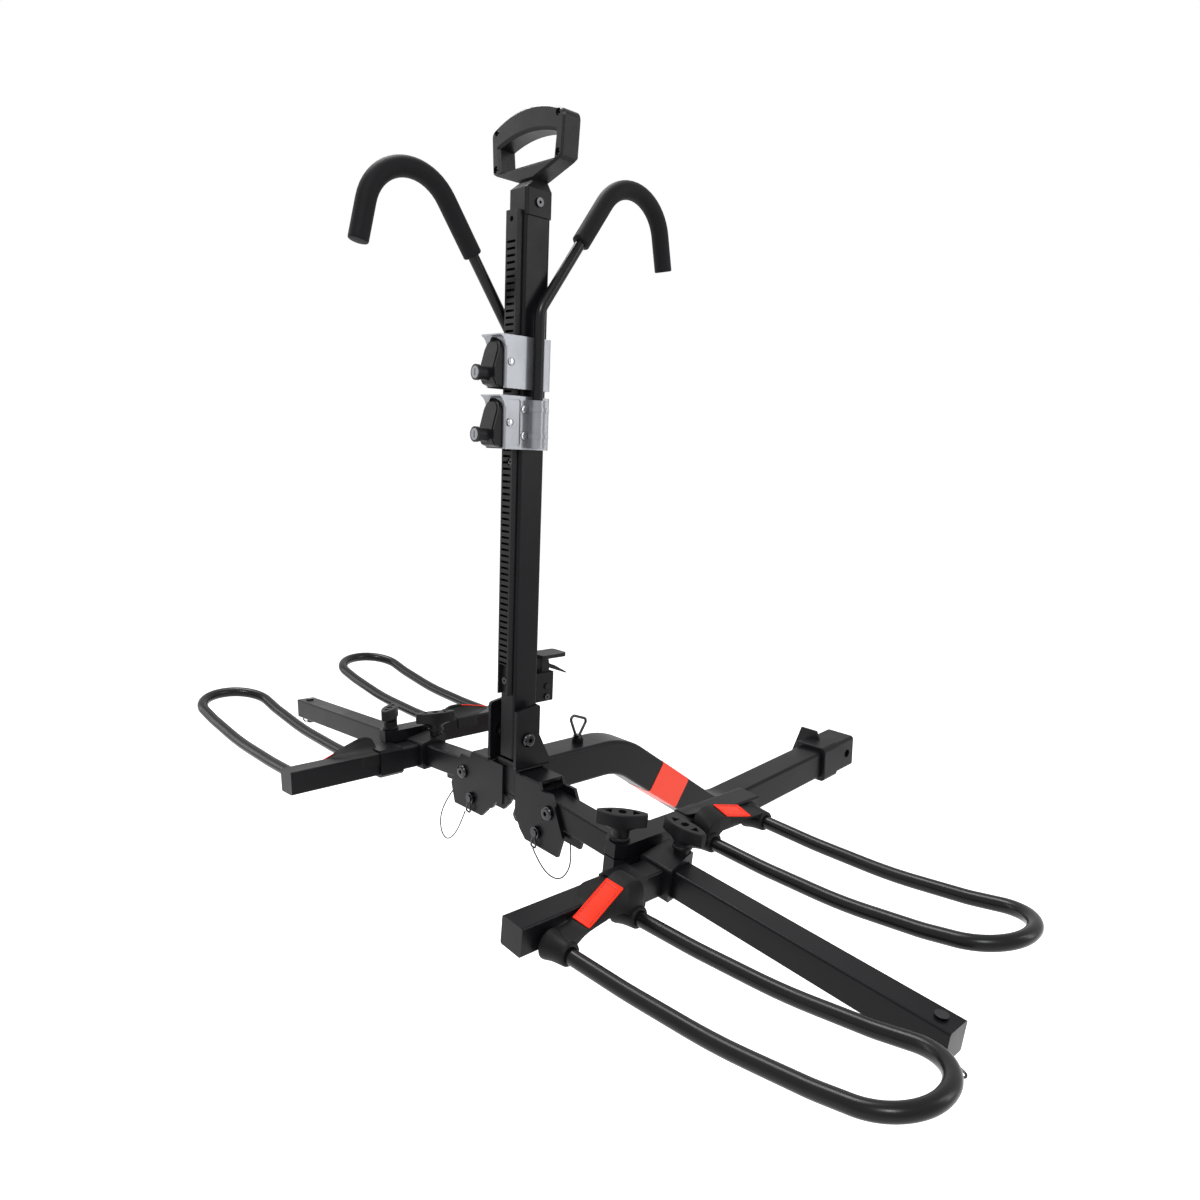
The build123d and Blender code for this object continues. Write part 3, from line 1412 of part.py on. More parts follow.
pieces = {
    "stinger_tube": stinger_tube,
    "receiver": receiver,
    "red_band": red_band,
    "pull_pin": pull_pin,
    "right_saddle": right_saddle,
    "left_saddle": left_saddle,
    "arm_pivot_bolts": arm_pivot_bolts,
    "hub_bail": hub_bail,
    "right_lock_pin": right_lock_pin,
    "left_lock_pin": left_lock_pin,
    "right_lanyard": right_lanyard,
    "left_lanyard": left_lanyard,
    "mast_bracket": mast_bracket,
    "mast_pivot_bolt": mast_pivot_bolt,
    "mast_tube": mast_tube,
    "ratchet_strip": ratchet_strip,
    "mast_cap": mast_cap,
    "mast_screws": mast_screws,
    "handle_front_shell": handle_front_shell,
    "handle_rear_shell": handle_rear_shell,
    "handle_screws": handle_screws,
    "latch_bracket": latch_bracket,
    "latch_lever": latch_lever,
    "lower_carriage": lower_carriage,
    "upper_carriage": upper_carriage,
    "lower_release": lower_release,
    "upper_release": upper_release,
    "lower_key_plug": lower_key_plug,
    "upper_key_plug": upper_key_plug,
    "lower_rivets": lower_rivets,
    "upper_rivets": upper_rivets,
    "right_hook_bar": right_hook_bar,
    "left_hook_bar": left_hook_bar,
    "right_hook_sleeve": right_hook_sleeve,
    "left_hook_sleeve": left_hook_sleeve,
    "right_arm_tube": right_arm_tube,
    "left_arm_tube": left_arm_tube,
    "right_end_stop": right_end_stop,
    "left_end_stop": left_end_stop,
    "right_collar": right_collar,
    "left_collar": left_collar,
    "right_near_tube": right_near_tube,
    "left_near_tube": left_near_tube,
    "right_far_bar": right_far_bar,
    "left_far_bar": left_far_bar,
    "right_far_jaw": right_far_jaw,
    "left_far_jaw": left_far_jaw,
    "right_near_hoop": right_near_hoop,
    "left_near_hoop": left_near_hoop,
    "right_far_hoop": right_far_hoop,
    "left_far_hoop": left_far_hoop,
    "right_near_strap": right_near_strap,
    "left_near_strap": left_near_strap,
    "right_far_strap": right_far_strap,
    "left_far_strap": left_far_strap,
    "right_near_knob": right_near_knob,
    "left_near_knob": left_near_knob,
    "right_far_knob": right_far_knob,
    "left_far_knob": left_far_knob,
}
for node, name in pieces.items():
    name.part.label = node
    export_step(name.part, f"parts/{node}.step")
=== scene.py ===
import logging
from dataclasses import dataclass
from enum import Enum
from math import cos, pi, radians, sin, tan
from typing import ClassVar

import bmesh
import bpy
from mathutils import Matrix, Vector


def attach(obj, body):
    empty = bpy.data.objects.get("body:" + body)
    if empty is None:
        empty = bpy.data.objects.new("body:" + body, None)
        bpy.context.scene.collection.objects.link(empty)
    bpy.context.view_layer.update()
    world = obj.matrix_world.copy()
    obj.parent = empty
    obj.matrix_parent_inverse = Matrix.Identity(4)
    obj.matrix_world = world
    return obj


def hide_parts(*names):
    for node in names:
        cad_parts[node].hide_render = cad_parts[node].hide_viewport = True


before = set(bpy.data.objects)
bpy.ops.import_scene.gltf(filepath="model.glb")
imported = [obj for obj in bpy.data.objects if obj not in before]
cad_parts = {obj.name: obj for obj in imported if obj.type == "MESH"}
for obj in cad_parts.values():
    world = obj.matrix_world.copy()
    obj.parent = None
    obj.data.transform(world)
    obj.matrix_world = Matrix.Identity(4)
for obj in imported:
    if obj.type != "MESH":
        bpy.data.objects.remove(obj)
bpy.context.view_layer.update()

log = logging.getLogger("rack")
logging.basicConfig(level=logging.INFO, format="%(name)s %(message)s")

# One millimetre in metres. Sizes are in millimetres wherever a docstring doesn't say metres.
MM = 0.001
# The hub: the middle of the stinger under the mast, from which the pieces are placed.
HUB = Vector((0.0, -780.5, 122.0))
HUB_FRAME = Matrix.Scale(MM, 4) @ Matrix.Translation(HUB)
# An arm's pivot from the hub, outwards and up, and how far the arm droops from level.
ARM_PIVOT = (92.7, -17.3)
ARM_DROOP = radians(4.2)

Outline = list[tuple[float, float]]
Ring = list[bmesh.types.BMVert]
Triple = tuple[float, float, float]


class Side(Enum):
    """Which arm a sub-assembly stands on, as the sign of its X."""

    RIGHT = 1
    LEFT = -1

    @property
    def word(self) -> str:
        """Name stem of this side's pieces."""
        return self.name.lower()


class Row(Enum):
    """Which of an arm's two wheel trays, as the sign of Y towards which its strap climbs."""

    NEAR = 1
    FAR = -1


class Repeat(Enum):
    """Small rounded shape that a row repeats, as its segments and rings."""

    STITCH = (8, 5)
    WELD = (12, 6)


def hub(x: float, y: float, z: float) -> Vector:
    """Point in metres from hub millimetres.

    Args:
        x, y, z: millimetres from the hub.

    Returns:
        The same point in the rack's frame, in metres.
    """
    return (Vector((x, y, z)) + HUB) * MM


def ramp(value: float, start: float, run: float) -> float:
    """How far a value has come through a range.

    Args:
        value: the value.
        start: where the range begins.
        run: length of the range.

    Returns:
        Nought before the range, one after it, and the share in between.
    """
    return min(max((value - start) / run, 0.0), 1.0)


def linear(code: str) -> tuple[float, float, float, float]:
    """Linear colour from an sRGB hex code.

    Args:
        code: six hex digits with a leading hash.

    Returns:
        Red, green, blue and alpha for a shader socket.
    """
    parts = [int(code[i : i + 2], 16) / 255 for i in (1, 3, 5)]
    r, g, b = [p / 12.92 if p <= 0.04045 else ((p + 0.055) / 1.055) ** 2.4 for p in parts]
    return (r, g, b, 1.0)


def add_node(
    tree: bpy.types.NodeTree, kind: str, inputs: dict | None = None, **settings: object
) -> bpy.types.Node:
    """Add a node, set its properties, and fill or link its inputs.

    Args:
        tree: tree that receives the node.
        kind: node type, such as "ShaderNodeBump".
        inputs: socket name or index to a value, or to an output socket to link.
        settings: properties of the node itself.

    Returns:
        The new node.
    """
    node = tree.nodes.new(kind)
    for key, value in settings.items():
        setattr(node, key, value)
    for key, value in (inputs or {}).items():
        if isinstance(value, bpy.types.NodeSocket):
            tree.links.new(value, node.inputs[key])
        else:
            node.inputs[key].default_value = value
    return node


@dataclass(frozen=True)
class Finish:
    """A surface finish with mottled colour and roughness and a fine bump.

    dark and light are the sRGB hex codes of its two tones and rough their roughness.
    grain is the size of the fine texture, bump its height and blotch the size of the
    mottling, all in millimetres on the real surface.
    """

    name: str
    dark: str
    light: str
    rough: tuple[float, float]
    grain: float
    bump: float
    metallic: float = 0.0
    ior: float = 1.5
    blotch: float = 45.0
    sheen: float = 0.0
    shine: float = 0.5

    MOTTLING: ClassVar[dict[str, float]] = {"Detail": 5.0, "Roughness": 0.6}
    TEXTURE: ClassVar[dict[str, float]] = {"Detail": 3.0, "Roughness": 0.55}
    # Noise stays near its middle, so this span of it covers both tones' roughness.
    NOISE_SPAN: ClassVar[tuple[float, float]] = (0.3, 0.7)

    def coordinates(self, tree: bpy.types.NodeTree) -> bpy.types.NodeSocket:
        """Object coordinates in millimetres.

        Args:
            tree: tree that gets the nodes.

        Returns:
            Socket of the coordinates.
        """
        place = add_node(tree, "ShaderNodeTexCoord")
        scale = add_node(
            tree,
            "ShaderNodeVectorMath",
            {0: place.outputs["Object"], "Scale": 1 / MM},
            operation="SCALE",
        )
        return scale.outputs["Vector"]

    def grain_height(
        self, tree: bpy.types.NodeTree, where: bpy.types.NodeSocket
    ) -> bpy.types.NodeSocket:
        """Height of the finish's fine texture.

        Args:
            tree: tree that gets the nodes.
            where: coordinates in millimetres.

        Returns:
            Socket of the height, from 0 to 1.
        """
        noise = add_node(
            tree, "ShaderNodeTexNoise", {"Vector": where, "Scale": 1 / self.grain, **self.TEXTURE}
        )
        return noise.outputs[0]

    def build(self) -> bpy.types.Material:
        """Make the material.

        Returns:
            The finished material, ready for an object's slot.
        """
        mat = bpy.data.materials.new(self.name)
        mat.use_nodes = True
        tree = mat.node_tree
        tree.nodes.clear()
        where = self.coordinates(tree)
        blotch = add_node(
            tree, "ShaderNodeTexNoise", {"Vector": where, "Scale": 1 / self.blotch, **self.MOTTLING}
        )
        # A Mix node holds its two colours at inputs 6 and 7 and their mix at output 2.
        tone = add_node(
            tree,
            "ShaderNodeMix",
            {0: blotch.outputs[0], 6: linear(self.dark), 7: linear(self.light)},
            data_type="RGBA",
        )
        height = self.grain_height(tree, where)
        rough = add_node(
            tree,
            "ShaderNodeMapRange",
            {
                "Value": blotch.outputs[0],
                "From Min": self.NOISE_SPAN[0],
                "From Max": self.NOISE_SPAN[1],
                "To Min": self.rough[0],
                "To Max": self.rough[1],
            },
        )
        normal = add_node(
            tree, "ShaderNodeBump", {"Height": height, "Strength": 0.6, "Distance": self.bump * MM}
        )
        shader = add_node(
            tree,
            "ShaderNodeBsdfPrincipled",
            {
                "Base Color": tone.outputs[2],
                "Roughness": rough.outputs[0],
                "Normal": normal.outputs[0],
                "Metallic": self.metallic,
                "IOR": self.ior,
                "Sheen Weight": self.sheen,
                "Specular IOR Level": self.shine,
            },
        )
        add_node(tree, "ShaderNodeOutputMaterial", {"Surface": shader.outputs[0]})
        mat.diffuse_color = linear(self.light)
        return mat


@dataclass(frozen=True)
class Brushed(Finish):
    """Drawn or rolled metal: the grain is stretched along the mast's height."""

    stretch: float = 18.0

    def grain_height(
        self, tree: bpy.types.NodeTree, where: bpy.types.NodeSocket
    ) -> bpy.types.NodeSocket:
        """Long fine scratches along Z.

        Args:
            tree: tree that gets the nodes.
            where: coordinates in millimetres.

        Returns:
            Socket of the height, from 0 to 1.
        """
        fine = 1 / self.grain
        turned = add_node(
            tree, "ShaderNodeMapping", {"Vector": where, "Scale": (fine, fine, fine / self.stretch)}
        )
        noise = add_node(
            tree, "ShaderNodeTexNoise", {"Vector": turned.outputs[0], "Scale": 1.0, "Detail": 2.0}
        )
        return noise.outputs[0]


# Powder coat on steel: satin black with a faint orange peel, drawn at 1.6 mm
# because the real 0.5 mm peel is too fine to show.
powder = Finish(
    "satin_black_powder_coat", "#08080a", "#101013", (0.3, 0.4), 1.6, 0.05, shine=0.13
)
# The same coat laid thicker on the bent rods, where it flows out glossier.
powder_rod = Finish(
    "gloss_black_powder_coat", "#0a0a0b", "#121214", (0.24, 0.32), 2.2, 0.012, shine=0.19
)
# The same coat on the receiver, the collars and the jaws, coarser and a little duller.
powder_rough = Finish(
    "textured_black_powder_coat", "#0a0a0c", "#121214", (0.38, 0.5), 1.1, 0.09, shine=0.15
)
# Glass-filled nylon: spark-eroded mould texture of about 1 mm, dull sheen.
nylon = Finish("moulded_black_nylon", "#0d0d0f", "#161618", (0.38, 0.5), 0.9, 0.06, shine=0.15)
# ABS of the handle: a finer mould texture than the nylon's and a softer, slightly
# smoother gloss on much the same black.
abs_black = Finish("moulded_black_abs", "#0e0e10", "#171719", (0.34, 0.44), 0.8, 0.05, shine=0.15)
# Closed-cell foam sleeve: matt skin with fine pores, which scatter light softly.
foam = Finish(
    "black_nitrile_foam", "#0b0b0d", "#131315", (0.55, 0.7), 1.3, 0.12, sheen=0.03, shine=0.1
)
# Moulded strap rubber: matt, slightly warm black.
rubber = Finish("moulded_strap_rubber", "#0b0b0c", "#141413", (0.45, 0.58), 1.0, 0.07, shine=0.12)
# Plasticised vinyl tag: saturated orange-red, soft gloss.
vinyl = Finish("red_vinyl_tag", "#e42a12", "#f4351a", (0.4, 0.5), 1.4, 0.05, shine=0.12)
# Plain red film wrap with a thin gloss laminate: even colour and a clear highlight.
film = Finish("red_film_wrap", "#dd2f17", "#ea3d1f", (0.32, 0.4), 2.2, 0.02, shine=0.3)
# Zinc-plated fasteners: bright grey metal with small tone changes.
zinc = Finish(
    "zinc_plated_steel", "#97999c", "#c2c4c6", (0.2, 0.32), 1.2, 0.03, metallic=1.0, blotch=9.0
)
# Black-oxide hardware: dark metal with a brighter sheen than the coat.
oxide = Finish(
    "black_oxide_steel", "#29292b", "#48484a", (0.14, 0.26), 1.0, 0.03, metallic=1.0, blotch=8.0
)
# Pressed aluminium carriages under a clear lacquer: mid grey, faintly mottled, with
# fine drawn lines. The lacquer keeps it from mirroring like bare metal.
silver = Brushed(
    "silver_pressed_aluminium", "#74767a", "#8f9195", (0.3, 0.42), 0.7, 0.04, metallic=0.75
)
# Chromed key plugs dulled by handling: mid-grey metal with a soft highlight.
chrome = Finish(
    "chromed_lock_plug", "#5f6164", "#76787b", (0.3, 0.4), 1.5, 0.01, metallic=1.0, blotch=6.0
)
# Coated wire of the lanyards: nylon over steel strands, dark and slightly glossy.
lanyard_wire = Finish(
    "coated_lanyard_wire", "#0e0e0e", "#1c1b1a", (0.35, 0.45), 0.6, 0.03, shine=0.2
)
# Polyester thread in the tags: a darker red with the soft sheen of fibres.
thread = Finish("red_polyester_thread", "#6e120c", "#86180f", (0.6, 0.75), 0.4, 0.04, sheen=0.3)

FINISHES = (
    powder, powder_rod, powder_rough, nylon, abs_black, foam, rubber, vinyl, film, zinc, oxide,
    silver, chrome, lanyard_wire, thread,
)

# The CAD nodes that stay visible, by the finish that they wear.
WORN = {
    powder: (
        "stinger_tube", "right_saddle", "left_saddle", "mast_bracket", "mast_tube",
        "right_arm_tube", "left_arm_tube", "right_near_tube", "left_near_tube",
        "right_far_bar", "left_far_bar", "latch_bracket",
    ),
    powder_rod: (
        "right_near_hoop", "left_near_hoop", "right_far_hoop", "left_far_hoop",
        "right_hook_bar", "left_hook_bar",
    ),
    powder_rough: ("receiver", "right_collar", "left_collar", "right_far_jaw", "left_far_jaw"),
    nylon: (
        "right_near_knob", "left_near_knob", "right_far_knob", "left_far_knob",
        "lower_release", "upper_release", "latch_lever", "ratchet_strip", "mast_cap",
    ),
    abs_black: ("handle_front_shell", "handle_rear_shell"),
    film: ("red_band",),
    silver: ("lower_carriage", "upper_carriage"),
    zinc: ("lower_rivets", "upper_rivets"),
    chrome: ("lower_key_plug", "upper_key_plug"),
    oxide: (
        "arm_pivot_bolts", "mast_pivot_bolt", "right_lock_pin", "left_lock_pin", "pull_pin",
        "hub_bail", "mast_screws", "handle_screws", "right_end_stop", "left_end_stop",
    ),
}


def finished(
    mesh: bpy.types.Mesh, name: str, finish: bpy.types.Material, body: str
) -> bpy.types.Object:
    """Object at the origin that rides on a body and wears one finish.

    Args:
        mesh: finished mesh in the rack's frame, in metres.
        name: name of the piece.
        finish: its material, unless the mesh already has one.
        body: body that it rides on.

    Returns:
        The linked object.
    """
    obj = bpy.data.objects.new(name, mesh)
    bpy.context.scene.collection.objects.link(obj)
    if not mesh.materials:
        mesh.materials.append(finish)
    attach(obj, body)
    log.info("%s on %s: %d faces", name, body, len(mesh.polygons))
    return obj


def smooth(mesh: bpy.types.Mesh, angle: float = 35.0) -> None:
    """Shade a mesh smooth and keep edges above an angle sharp.

    Args:
        mesh: mesh to shade.
        angle: degrees between two faces above which their edge stays sharp.
    """
    mesh.shade_smooth()
    mesh.set_sharp_from_angle(angle=radians(angle))


def join_rings(
    bm: bmesh.types.BMesh, rings: list[Ring], capped: bool = False
) -> list[bmesh.types.BMFace]:
    """Make the wall from each ring of vertices to the next.

    Args:
        bm: shape that holds the rings.
        rings: rings with the same number of vertices each.
        capped: whether the first and the last ring get an end face.

    Returns:
        The new faces, the two end faces last.
    """
    faces = []
    for first, second in zip(rings, rings[1:]):
        for k, corner in enumerate(first):
            after = (k + 1) % len(first)
            faces.append(bm.faces.new((corner, first[after], second[after], second[k])))
    if capped:
        faces += [bm.faces.new(rings[0][::-1]), bm.faces.new(rings[-1])]
    return faces


def swept(
    points: list[Vector], sections: list[Outline], side: Vector | None = None
) -> bmesh.types.BMesh:
    """Sweep a section along points and close both ends.

    Args:
        points: centre line.
        sections: one (across, up) outline for each point.
        side: fixed direction of "across", or None to carry it along the line.

    Returns:
        The swept shape with outward faces.
    """
    bm = bmesh.new()
    rings = []
    across = (points[1] - points[0]).orthogonal() if side is None else side
    last = len(points) - 1
    for i, (point, section) in enumerate(zip(points, sections)):
        along = (points[min(i + 1, last)] - points[max(i - 1, 0)]).normalized()
        if side is None:
            across = across - along * across.dot(along)
        across = across.normalized()
        up = along.cross(across).normalized()
        rings.append([bm.verts.new(point + across * a + up * b) for a, b in section])
    join_rings(bm, rings, capped=True)
    bmesh.ops.recalc_face_normals(bm, faces=bm.faces)
    return bm


def circle(radius: float, count: int) -> Outline:
    """Outline of a circle.

    Args:
        radius: its radius.
        count: number of corners.

    Returns:
        (across, up) pairs.
    """
    turns = [2 * pi * i / count for i in range(count)]
    return [(radius * cos(turn), radius * sin(turn)) for turn in turns]


def rounded_box(width: float, height: float, corner: float, steps: int) -> Outline:
    """Outline of a rectangle with round corners.

    Args:
        width, height: overall size.
        corner: corner radius.
        steps: segments of each corner.

    Returns:
        (across, up) pairs, counter-clockwise.
    """
    out = []
    for k, (sx, sy) in enumerate(((1, 1), (-1, 1), (-1, -1), (1, -1))):
        cx, cy = sx * (width / 2 - corner), sy * (height / 2 - corner)
        for i in range(steps + 1):
            a = pi / 2 * (k + i / steps)
            out.append((cx + corner * cos(a), cy + corner * sin(a)))
    return out


def curve_through(corners: Outline, steps: int) -> Outline:
    """Smooth line through corners, as a strap lies over its supports.

    Args:
        corners: (along, up) pairs that the line passes.
        steps: samples from one corner to the next.

    Returns:
        Samples from the first to the last corner.
    """
    points = [Vector(corner) for corner in corners]
    ends = [points[0] * 2 - points[1], *points, points[-1] * 2 - points[-2]]
    out = []
    for a, b, c, d in zip(ends, ends[1:], ends[2:], ends[3:]):
        straight, bend, twist = c - a, 2 * a - 5 * b + 4 * c - d, 3 * b - a - 3 * c + d
        for i in range(steps):
            t = i / steps
            out.append(tuple(0.5 * (2 * b + straight * t + bend * t * t + twist * t**3)))
    return [*out, corners[-1]]


def mesh_of(bm: bmesh.types.BMesh, name: str, place: Matrix) -> bpy.types.Mesh:
    """Mesh from a bmesh, moved to its place.

    Args:
        bm: shape to turn into a mesh; it is freed.
        name: name of the mesh.
        place: matrix from the shape's millimetres into the rack's frame.

    Returns:
        The mesh, with faces outwards.
    """
    bm.transform(place)
    bmesh.ops.recalc_face_normals(bm, faces=bm.faces)
    mesh = bpy.data.meshes.new(name)
    bm.to_mesh(mesh)
    bm.free()
    return mesh


@dataclass
class PathRepeat:
    """Geometry Nodes row of one small shape along a line.

    pitch is the spacing, length and width the size of each shape.
    """

    shape: Repeat
    pitch: float
    length: float
    width: float
    tree: bpy.types.NodeTree | None = None

    # Each shape is up to 12 per cent smaller or larger, drawn from one fixed seed.
    SPREAD: ClassVar[tuple[float, float]] = (0.88, 1.12)
    SEED: ClassVar[int] = 7

    def sizes(self) -> dict[str, float]:
        """Named inputs of the tree with their values in metres."""
        return {"Pitch": self.pitch * MM, "Length": self.length * MM, "Width": self.width * MM}

    def build_tree(self, finish: bpy.types.Material) -> bpy.types.NodeTree:
        """Build the node tree with its named size inputs.

        Args:
            finish: material of the repeated shape.

        Returns:
            The tree.
        """
        name = f"row_of_{self.shape.name.lower()}"
        tree = bpy.data.node_groups.new(name, "GeometryNodeTree")
        face = tree.interface
        face.new_socket("Geometry", in_out="INPUT", socket_type="NodeSocketGeometry")
        for label in self.sizes():
            face.new_socket(label, in_out="INPUT", socket_type="NodeSocketFloat")
        face.new_socket("Geometry", in_out="OUTPUT", socket_type="NodeSocketGeometry")
        start = add_node(tree, "NodeGroupInput")
        line = add_node(tree, "GeometryNodeMeshToCurve", {"Mesh": start.outputs["Geometry"]})
        spaced = add_node(
            tree,
            "GeometryNodeCurveToPoints",
            {"Curve": line.outputs[0], "Length": start.outputs["Pitch"]},
            mode="LENGTH",
        )
        segments, rings = self.shape.value
        ball = add_node(
            tree,
            "GeometryNodeMeshUVSphere",
            {"Segments": segments, "Rings": rings, "Radius": 0.5},
        )
        width = start.outputs["Width"]
        size = add_node(
            tree, "ShaderNodeCombineXYZ", {"X": width, "Y": width, "Z": start.outputs["Length"]}
        )
        # A Random Value node holds its float limits at inputs 2 and 3 and draws at output 1.
        wobble = add_node(
            tree,
            "FunctionNodeRandomValue",
            {2: self.SPREAD[0], 3: self.SPREAD[1], "Seed": self.SEED},
            data_type="FLOAT",
        )
        grown = add_node(
            tree,
            "ShaderNodeVectorMath",
            {0: size.outputs[0], "Scale": wobble.outputs[1]},
            operation="SCALE",
        )
        put = add_node(
            tree,
            "GeometryNodeInstanceOnPoints",
            {
                "Points": spaced.outputs["Points"],
                "Instance": ball.outputs["Mesh"],
                "Rotation": spaced.outputs["Rotation"],
                "Scale": grown.outputs[0],
            },
        )
        real = add_node(tree, "GeometryNodeRealizeInstances", {"Geometry": put.outputs[0]})
        shaded = add_node(tree, "GeometryNodeSetShadeSmooth", {"Geometry": real.outputs[0]})
        dressed = add_node(
            tree, "GeometryNodeSetMaterial", {"Geometry": shaded.outputs[0], "Material": finish}
        )
        add_node(tree, "NodeGroupOutput", {"Geometry": dressed.outputs[0]})
        self.tree = tree
        return tree

    def along(
        self, lines: list[list[Vector]], name: str, finish: bpy.types.Material, body: str
    ) -> bpy.types.Object:
        """Repeat the shape along lines and turn the row into a plain mesh.

        Args:
            lines: polylines in the rack's frame, in metres.
            name: name of the piece.
            finish: material of the repeated shape.
            body: body that the row rides on.

        Returns:
            The row as one object.
        """
        verts: list[Vector] = []
        edges: list[tuple[int, int]] = []
        for line in lines:
            base = len(verts)
            verts += line
            edges += [(base + i, base + i + 1) for i in range(len(line) - 1)]
        guide = bpy.data.meshes.new(name + "_guide")
        guide.from_pydata(verts, edges, [])
        holder = bpy.data.objects.new(name + "_guide", guide)
        bpy.context.scene.collection.objects.link(holder)
        tree = self.tree or self.build_tree(finish)
        modifier = holder.modifiers.new("row", "NODES")
        modifier.node_group = tree
        values = self.sizes()
        for item in tree.interface.items_tree:
            if item.item_type == "SOCKET" and item.in_out == "INPUT" and item.name in values:
                modifier[item.identifier] = values[item.name]
        bpy.context.view_layer.update()
        evaluated = holder.evaluated_get(bpy.context.evaluated_depsgraph_get())
        mesh = bpy.data.meshes.new_from_object(evaluated)
        mesh.name = name
        bpy.data.objects.remove(holder)
        return finished(mesh, name, finish, body)


@dataclass(frozen=True)
class SoftBox:
    """Rectangular studio lamp, placed and sized in metres, with its power in watts."""

    name: str
    at: Triple
    size: tuple[float, float]
    power: float

    def build(self, aim: Triple) -> None:
        """Add the lamp.

        Args:
            aim: point that it faces, in metres.
        """
        data = bpy.data.lights.new(self.name, "AREA")
        data.shape = "RECTANGLE"
        data.size, data.size_y = self.size
        data.energy = self.power
        obj = bpy.data.objects.new(self.name, data)
        bpy.context.scene.collection.objects.link(obj)
        obj.location = self.at
        way = Vector(aim) - Vector(self.at)
        obj.rotation_euler = way.to_track_quat("-Z", "Y").to_euler()


@dataclass
class Stage:
    """Camera at the photograph's angle, pale floor and soft studio light.

    Angles are in degrees, focal length and picture centre in pixels of the photograph,
    the eye in hub millimetres, and sensor and clip as Blender's camera wants them. The
    floor's drop, spot and half width and the lamps' aim are in metres.
    """

    yaw: float = 45.528
    pitch: float = 12.599
    roll: float = 2.790
    focal_px: float = 904.6
    centre_px: tuple[float, float] = (619.3, 649.9)
    frame_px: float = 1200.0
    eye: Triple = (904.6, -706.9, 433.2)
    sensor: float = 36.0
    clip: tuple[float, float] = (0.05, 50.0)
    floor_drop: float = 0.52
    floor_spot: tuple[float, float] = (0.0, -0.5)
    floor_half: float = 9.0
    floor_glow: float = 0.53
    surround: float = 0.55
    aim: Triple = (0.0, -0.75, 0.25)

    BOXES: ClassVar[tuple[SoftBox, ...]] = (
        SoftBox("key_softbox", (1.6, -2.6, 2.6), (0.7, 0.7), 60),
        SoftBox("top_softbox", (-1.1, -0.6, 2.5), (1.0, 1.0), 55),
        SoftBox("left_strip", (-2.4, -2.2, 1.2), (0.5, 2.2), 16),
        SoftBox("rear_strip", (2.4, 0.9, 1.4), (0.5, 2.2), 24),
    )

    def camera(self) -> None:
        """Place the camera and make it the scene's."""
        yaw, pitch, roll = radians(self.yaw), radians(self.pitch), radians(self.roll)
        ahead = Vector((-sin(yaw) * cos(pitch), cos(yaw) * cos(pitch), -sin(pitch)))
        right = Vector((cos(yaw), sin(yaw), 0))
        up = right.cross(ahead)
        right_rolled = cos(roll) * right + sin(roll) * up
        up_rolled = -sin(roll) * right + cos(roll) * up
        data = bpy.data.cameras.new("photo_camera")
        data.sensor_fit = "HORIZONTAL"
        data.sensor_width = self.sensor
        data.lens = self.focal_px / self.frame_px * self.sensor
        data.shift_x = 0.5 - self.centre_px[0] / self.frame_px
        data.shift_y = self.centre_px[1] / self.frame_px - 0.5
        data.clip_start, data.clip_end = self.clip
        obj = bpy.data.objects.new("photo_camera", data)
        bpy.context.scene.collection.objects.link(obj)
        turn = Matrix((right_rolled, up_rolled, -ahead)).transposed().to_4x4()
        obj.matrix_world = Matrix.Translation(hub(*self.eye)) @ turn
        bpy.context.scene.camera = obj

    def seen(self, tree: bpy.types.NodeTree) -> bpy.types.NodeSocket:
        """One where the eye, a reflection or glass looks at the surround, else nought.

        Args:
            tree: tree that gets the nodes.

        Returns:
            The factor's socket.
        """
        ray = add_node(tree, "ShaderNodeLightPath")
        direct = add_node(
            tree,
            "ShaderNodeMath",
            {0: ray.outputs["Is Camera Ray"], 1: ray.outputs["Is Glossy Ray"]},
            operation="MAXIMUM",
        )
        either = add_node(
            tree,
            "ShaderNodeMath",
            {0: direct.outputs[0], 1: ray.outputs["Is Transmission Ray"]},
            operation="MAXIMUM",
        )
        return either.outputs[0]

    def floor_paint(self) -> bpy.types.Material:
        """Pale paint that shows white to the camera and keeps the shadow.

        Returns:
            The floor's material.
        """
        mat = bpy.data.materials.new("pale_studio_floor")
        mat.use_nodes = True
        tree = mat.node_tree
        tree.nodes.clear()
        paint = add_node(
            tree, "ShaderNodeBsdfDiffuse", {"Color": linear("#f4f4f4"), "Roughness": 0.6}
        )
        glow = add_node(
            tree, "ShaderNodeEmission", {"Color": linear("#ffffff"), "Strength": self.floor_glow}
        )
        both = add_node(tree, "ShaderNodeAddShader", {0: paint.outputs[0], 1: glow.outputs[0]})
        mix = add_node(
            tree,
            "ShaderNodeMixShader",
            {0: self.seen(tree), 1: paint.outputs[0], 2: both.outputs[0]},
        )
        add_node(tree, "ShaderNodeOutputMaterial", {"Surface": mix.outputs[0]})
        return mat

    def floor(self) -> None:
        """Lay the floor under the rack."""
        bm = bmesh.new()
        bmesh.ops.create_grid(bm, x_segments=8, y_segments=8, size=self.floor_half)
        mesh = bpy.data.meshes.new("studio_floor")
        bm.to_mesh(mesh)
        bm.free()
        mesh.materials.append(self.floor_paint())
        floor = bpy.data.objects.new("studio_floor", mesh)
        floor.location = (*self.floor_spot, -self.floor_drop)
        bpy.context.scene.collection.objects.link(floor)

